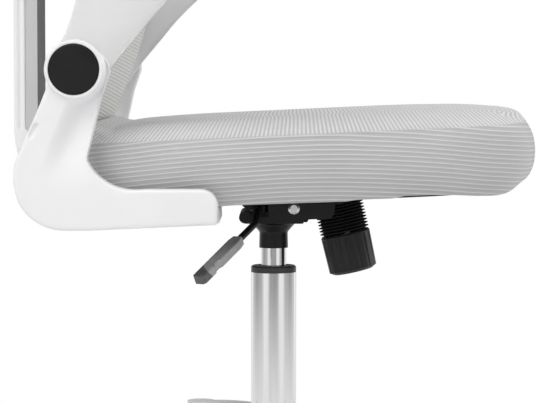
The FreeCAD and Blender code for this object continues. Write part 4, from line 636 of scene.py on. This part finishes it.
def makeLip(name, side):
    bore, rim, inner, face, curve = (lipShape[key] for key in ("bore", "rim", "inner", "face", "round"))
    profile = [(bore, inner), (bore, face - curve * 0.6), (bore + curve * 0.3, face - curve * 0.15),
               (bore + curve, face), (rim - curve * 1.4, face), (rim - curve * 0.5, face - curve * 0.35),
               (rim, face - curve * 1.4), (rim + 0.0008, inner), (bore, inner)]
    piece = turnedPiece(name, profile, 96)
    turn = Matrix.Rotation(math.radians(90 if side < 0 else -90), 4, "X")
    settle(piece, Matrix.Translation((armPivot["x"], 0.0, armPivot["z"])) @ turn)
    shadeSmooth(piece, 40)
    return finishPiece(piece, "seat", "white_plastic", finishes["white"])


makeLip("pivotLipRight", -1)
makeLip("pivotLipLeft", 1)
print("pivot lips made")


# rear ears of the tilt housing, one on each cheek
earShape = {
    "outline": ((-0.037, 0.3655), (-0.0215, 0.3662), (-0.0222, 0.3512), (-0.0278, 0.3516), (-0.034, 0.3562)),
    "inner": 0.040, "outer": 0.044, "bevel": 0.0006,
}


def makeEar(name, side):
    corners = len(earShape["outline"])
    points = [(x, side * earShape[face], z) for face in ("inner", "outer") for x, z in earShape["outline"]]
    ring = list(range(corners))
    faces = [ring, [corner + corners for corner in ring]]
    faces += [[i, (i + 1) % corners, (i + 1) % corners + corners, i + corners] for i in ring]
    mesh = bpy.data.meshes.new(name)
    mesh.from_pydata(points, [], faces)
    piece = bpy.data.objects.new(name, mesh)
    bpy.context.collection.objects.link(piece)
    takeUp(piece)
    bpy.ops.object.mode_set(mode="EDIT")
    bpy.ops.mesh.select_all(action="SELECT")
    bpy.ops.mesh.normals_make_consistent(inside=False)
    bpy.ops.object.mode_set(mode="OBJECT")
    edge = piece.modifiers.new("edge", "BEVEL")
    edge.width = earShape["bevel"]
    edge.segments = 2
    applyModifiers(piece)
    return finishPiece(piece, "seat", "black_steel", finishes["blackSteel"])


makeEar("housingEarRight", -1)
makeEar("housingEarLeft", 1)
print("housing ears made")


# bellows round the tension spring
bellowsShape = {
    "out": 0.0273, "root": 0.0236, "flare": 0.0004, "pitch": 0.0035, "ribs": 9, "top": 0.0006, "bore": 0.0226,
    "keep": 0.5,
}


def screwMatrix():
    # local Z up along the tension screw, from its reference point
    tilt = Matrix.Rotation(-screwAxis["lean"], 4, "Y")
    return Matrix.Translation((screwAxis["x"], 0.0, screwAxis["z"])) @ tilt


def makeBellows():
    pitch, top = bellowsShape["pitch"], bellowsShape["top"]
    out, root, bore = bellowsShape["out"], bellowsShape["root"], bellowsShape["bore"]
    flank = root + bellowsShape["flare"]
    foot = -(top + bellowsShape["ribs"] * pitch)
    profile = [(bore, -top), (root, -top)]
    for number in range(bellowsShape["ribs"]):
        start = -(top + number * pitch)
        profile += [(flank, start - pitch * 0.12), (out, start - pitch * 0.42), (out, start - pitch * 0.58),
                    (flank, start - pitch * 0.88), (root, start - pitch)]
    profile += [(bore, foot), (bore, -top)]
    piece = turnedPiece("bellows.cover", profile, 72)
    settle(piece, screwMatrix())
    shadeSmooth(piece, 35)
    finishPiece(piece, "tension_carriage", "bellows_rubber", finishes["bellows"], "bellows")
    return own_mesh(piece)


makeBellows()


def makeSpring():
    piece = copyOfNode("tension_spring", "tensionCoil")
    shadeSmooth(piece)
    finishPiece(piece, "tension_carriage", "black_steel", finishes["blackSteel"], "tension_spring")
    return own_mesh(piece)


makeSpring()
print("bellows and spring made")


# spine panel: light grey sides, and a front face coloured darker, partly its own darker grey and partly painted shade
# from the back cloth in front of it
def makeSpinePanel():
    piece = copyOfNode("spine_cover", "spinePanel")
    finishPiece(piece, "seat", "panel_plastic", finishes["panelSide"], "spine_cover")
    piece.data.materials.append(finishes["panelFrontShaded"])
    for face in piece.data.polygons:
        # faces looking forward take the darker tone, partly painted shade
        face.material_index = 1 if face.normal.x > 0.5 else 0
    return piece


makeSpinePanel()


# arm pads
padShape = {"voxel": 0.003, "relax": 6, "crown": 0.0015}


def makePad(node, name, body):
    piece = copyOfNode(node, name)
    remeshed(piece, padShape["voxel"])
    relaxed(piece, padShape["relax"])
    low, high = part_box(node)
    middle = (low + high) / 2
    for vertex in piece.data.vertices:
        across = min(1.0, abs(vertex.co.y - middle.y) / (high.y - low.y) * 2)
        along = min(1.0, abs(vertex.co.x - middle.x) / (high.x - low.x) * 2)
        if vertex.co.z > middle.z:
            vertex.co.z += padShape["crown"] * (1 - across ** 2) * (1 - along ** 4)
    shadeSmooth(piece)
    return finishPiece(piece, body, "pad_soft", finishes["pad"], node)


makePad("arm_pad_right", "armPadRight", "arm_right")
makePad("arm_pad_left", "armPadLeft", "arm_left")
print("arm pads made")


# floor, light and camera
# what polished metal sees round the horizon: share of a half turn from the camera's side, and how bright it is there
studioRing = (
    (0.0, 0.34), (0.10, 0.37), (0.18, 0.91), (0.25, 0.95), (0.36, 0.46), (0.52, 0.35),
    (0.66, 0.55), (0.76, 1.0), (0.86, 0.9), (0.93, 0.42), (1.0, 0.36),
)
stageShape = {
    "floor": 14.0, "level": -0.0005, "tone": 0.86, "shadowRadius": 0.45, "fade": 0.9,
    "mirrorNear": 0.85, "mirror": (0.3, 0.6), "outward": (0.8, 3.0),
}


def mathNode(tree, operation, first, second=None):
    made = tree.nodes.new("ShaderNodeMath")
    made.operation = operation
    for socket, value in zip(made.inputs, (first, second)):
        if isinstance(value, bpy.types.NodeSocket):
            tree.links.new(value, socket)
        elif value is not None:
            socket.default_value = value
    return made.outputs[0]


def ringBrightness(tree, vector):
    axes = tree.nodes.new("ShaderNodeSeparateXYZ")
    tree.links.new(vector, axes.inputs[0])
    back = mathNode(tree, "MULTIPLY", axes.outputs["Y"], -1.0)
    turn = mathNode(tree, "ARCTAN2", axes.outputs["X"], back)
    share = mathNode(tree, "DIVIDE", mathNode(tree, "ABSOLUTE", turn), math.pi)
    ramp = tree.nodes.new("ShaderNodeValToRGB")
    ramp.color_ramp.interpolation = "EASE"
    while len(ramp.color_ramp.elements) < len(studioRing):
        ramp.color_ramp.elements.new(0.5)
    for element, (position, level) in zip(ramp.color_ramp.elements, studioRing):
        element.position = position
        element.color = grey(level)
    tree.links.new(share, ramp.inputs["Fac"])
    return ramp.outputs["Color"]


def makeFloor():
    clearSelection()
    bpy.ops.mesh.primitive_plane_add(size=stageShape["floor"], location=(0, 0, stageShape["level"]))
    floor = bpy.context.object
    floor.name = "paleFloor"
    look = Finish("paleFloorFinish")
    look.shader.inputs["Base Color"].default_value = grey(stageShape["tone"])
    look.shader.inputs["Roughness"].default_value = 0.9
    length = look.add("ShaderNodeVectorMath", operation="LENGTH")
    look.link(look.place, length.inputs[0])
    far = look.spread(length.outputs["Value"], stageShape["shadowRadius"], stageShape["fade"], 0.0, 1.0)
    rays = look.add("ShaderNodeLightPath")
    seen = look.math("MAXIMUM", rays.outputs["Is Camera Ray"], rays.outputs["Is Transmission Ray"])
    glow = look.add("ShaderNodeEmission")
    glow.inputs["Color"].default_value = grey(1.0)
    shown = look.add("ShaderNodeMixShader")
    look.link(look.math("MULTIPLY", far, seen), shown.inputs["Fac"])
    look.link(look.shader.outputs[0], shown.inputs[1])
    look.link(glow.outputs[0], shown.inputs[2])
    # in polished metal the floor pales towards the column and takes up the studio further out
    outward = look.spread(length.outputs["Value"], *stageShape["outward"], 0.0, 1.0)
    ring = ringBrightness(look.tree, look.place)
    mirror = look.add("ShaderNodeEmission")
    look.put(mirror.inputs["Color"], look.mix(outward, grey(stageShape["mirrorNear"]), ring))
    final = look.add("ShaderNodeMixShader")
    near = look.spread(length.outputs["Value"], *stageShape["mirror"], 0.0, 1.0)
    look.link(look.math("MULTIPLY", near, rays.outputs["Is Glossy Ray"]), final.inputs["Fac"])
    look.link(shown.outputs[0], final.inputs[1])
    look.link(mirror.outputs[0], final.inputs[2])
    look.link(final.outputs[0], look.tree.nodes["Material Output"].inputs["Surface"])
    floor.data.materials.append(look.material)


makeFloor()

worldFill = 0.60


def makeWorld():
    world = bpy.data.worlds.new("softStudio")
    world.use_nodes = True
    bpy.context.scene.world = world
    tree = world.node_tree
    light = tree.nodes["Background"]
    light.inputs["Color"].default_value = grey(1.0)
    light.inputs["Strength"].default_value = worldFill
    rays = tree.nodes.new("ShaderNodeLightPath")
    white = tree.nodes.new("ShaderNodeBackground")
    white.inputs["Color"].default_value = grey(1.0)
    white.inputs["Strength"].default_value = 1.0
    mirror = tree.nodes.new("ShaderNodeBackground")
    place = tree.nodes.new("ShaderNodeTexCoord")
    tree.links.new(ringBrightness(tree, place.outputs["Generated"]), mirror.inputs["Color"])
    glossy = tree.nodes.new("ShaderNodeMixShader")
    tree.links.new(rays.outputs["Is Glossy Ray"], glossy.inputs["Fac"])
    tree.links.new(light.outputs[0], glossy.inputs[1])
    tree.links.new(mirror.outputs[0], glossy.inputs[2])
    seen = mathNode(tree, "MAXIMUM", rays.outputs["Is Camera Ray"], rays.outputs["Is Transmission Ray"])
    final = tree.nodes.new("ShaderNodeMixShader")
    tree.links.new(seen, final.inputs["Fac"])
    tree.links.new(glossy.outputs[0], final.inputs[1])
    tree.links.new(white.outputs[0], final.inputs[2])
    tree.links.new(final.outputs[0], tree.nodes["World Output"].inputs["Surface"])


makeWorld()

lamps = {
    "overheadSoftbox": {"at": (-0.8, -1.5, 2.9), "aim": (0, 0, 0.45), "size": (2.6, 2.0), "power": 46.0},
    "frontSoftbox": {"at": (-0.9, -4.0, 1.1), "aim": (0, 0, 0.4), "size": (3.0, 2.0), "power": 14.0},
    "sideSoftbox": {"at": (3.2, 0.9, 1.3), "aim": (0, 0, 0.5), "size": (2.0, 2.0), "power": 32.0},
}
for name, lamp in lamps.items():
    data = bpy.data.lights.new(name, "AREA")
    data.shape = "RECTANGLE"
    data.size, data.size_y = lamp["size"]
    data.energy = lamp["power"]
    holder = bpy.data.objects.new(name, data)
    bpy.context.collection.objects.link(holder)
    holder.location = lamp["at"]
    holder.rotation_euler = (Vector(lamp["aim"]) - Vector(lamp["at"])).to_track_quat("-Z", "Y").to_euler()

cameraShape = {
    "at": (0.0181, -2.75, 0.52), "focal": 2491.0, "imageWide": 547.0, "vanish": (290.0, 55.0), "centre": (273.5, 201.5),
    "sensor": 36.0, "farthest": 60.0,
}


def makeCamera():
    data = bpy.data.cameras.new("photoCamera")
    data.sensor_width = cameraShape["sensor"]
    data.lens = cameraShape["focal"] / cameraShape["imageWide"] * data.sensor_width
    data.clip_end = cameraShape["farthest"]
    camera = bpy.data.objects.new("photoCamera", data)
    bpy.context.collection.objects.link(camera)
    camera.location = cameraShape["at"]
    right = (cameraShape["centre"][0] - cameraShape["vanish"][0]) / cameraShape["focal"]
    down = (cameraShape["centre"][1] - cameraShape["vanish"][1]) / cameraShape["focal"]
    camera.rotation_euler = Vector((right, 1.0, -down)).to_track_quat("-Z", "Y").to_euler()
    bpy.context.scene.camera = camera


makeCamera()
bpy.context.scene.view_settings.view_transform = "Standard"

print("stage and camera set")
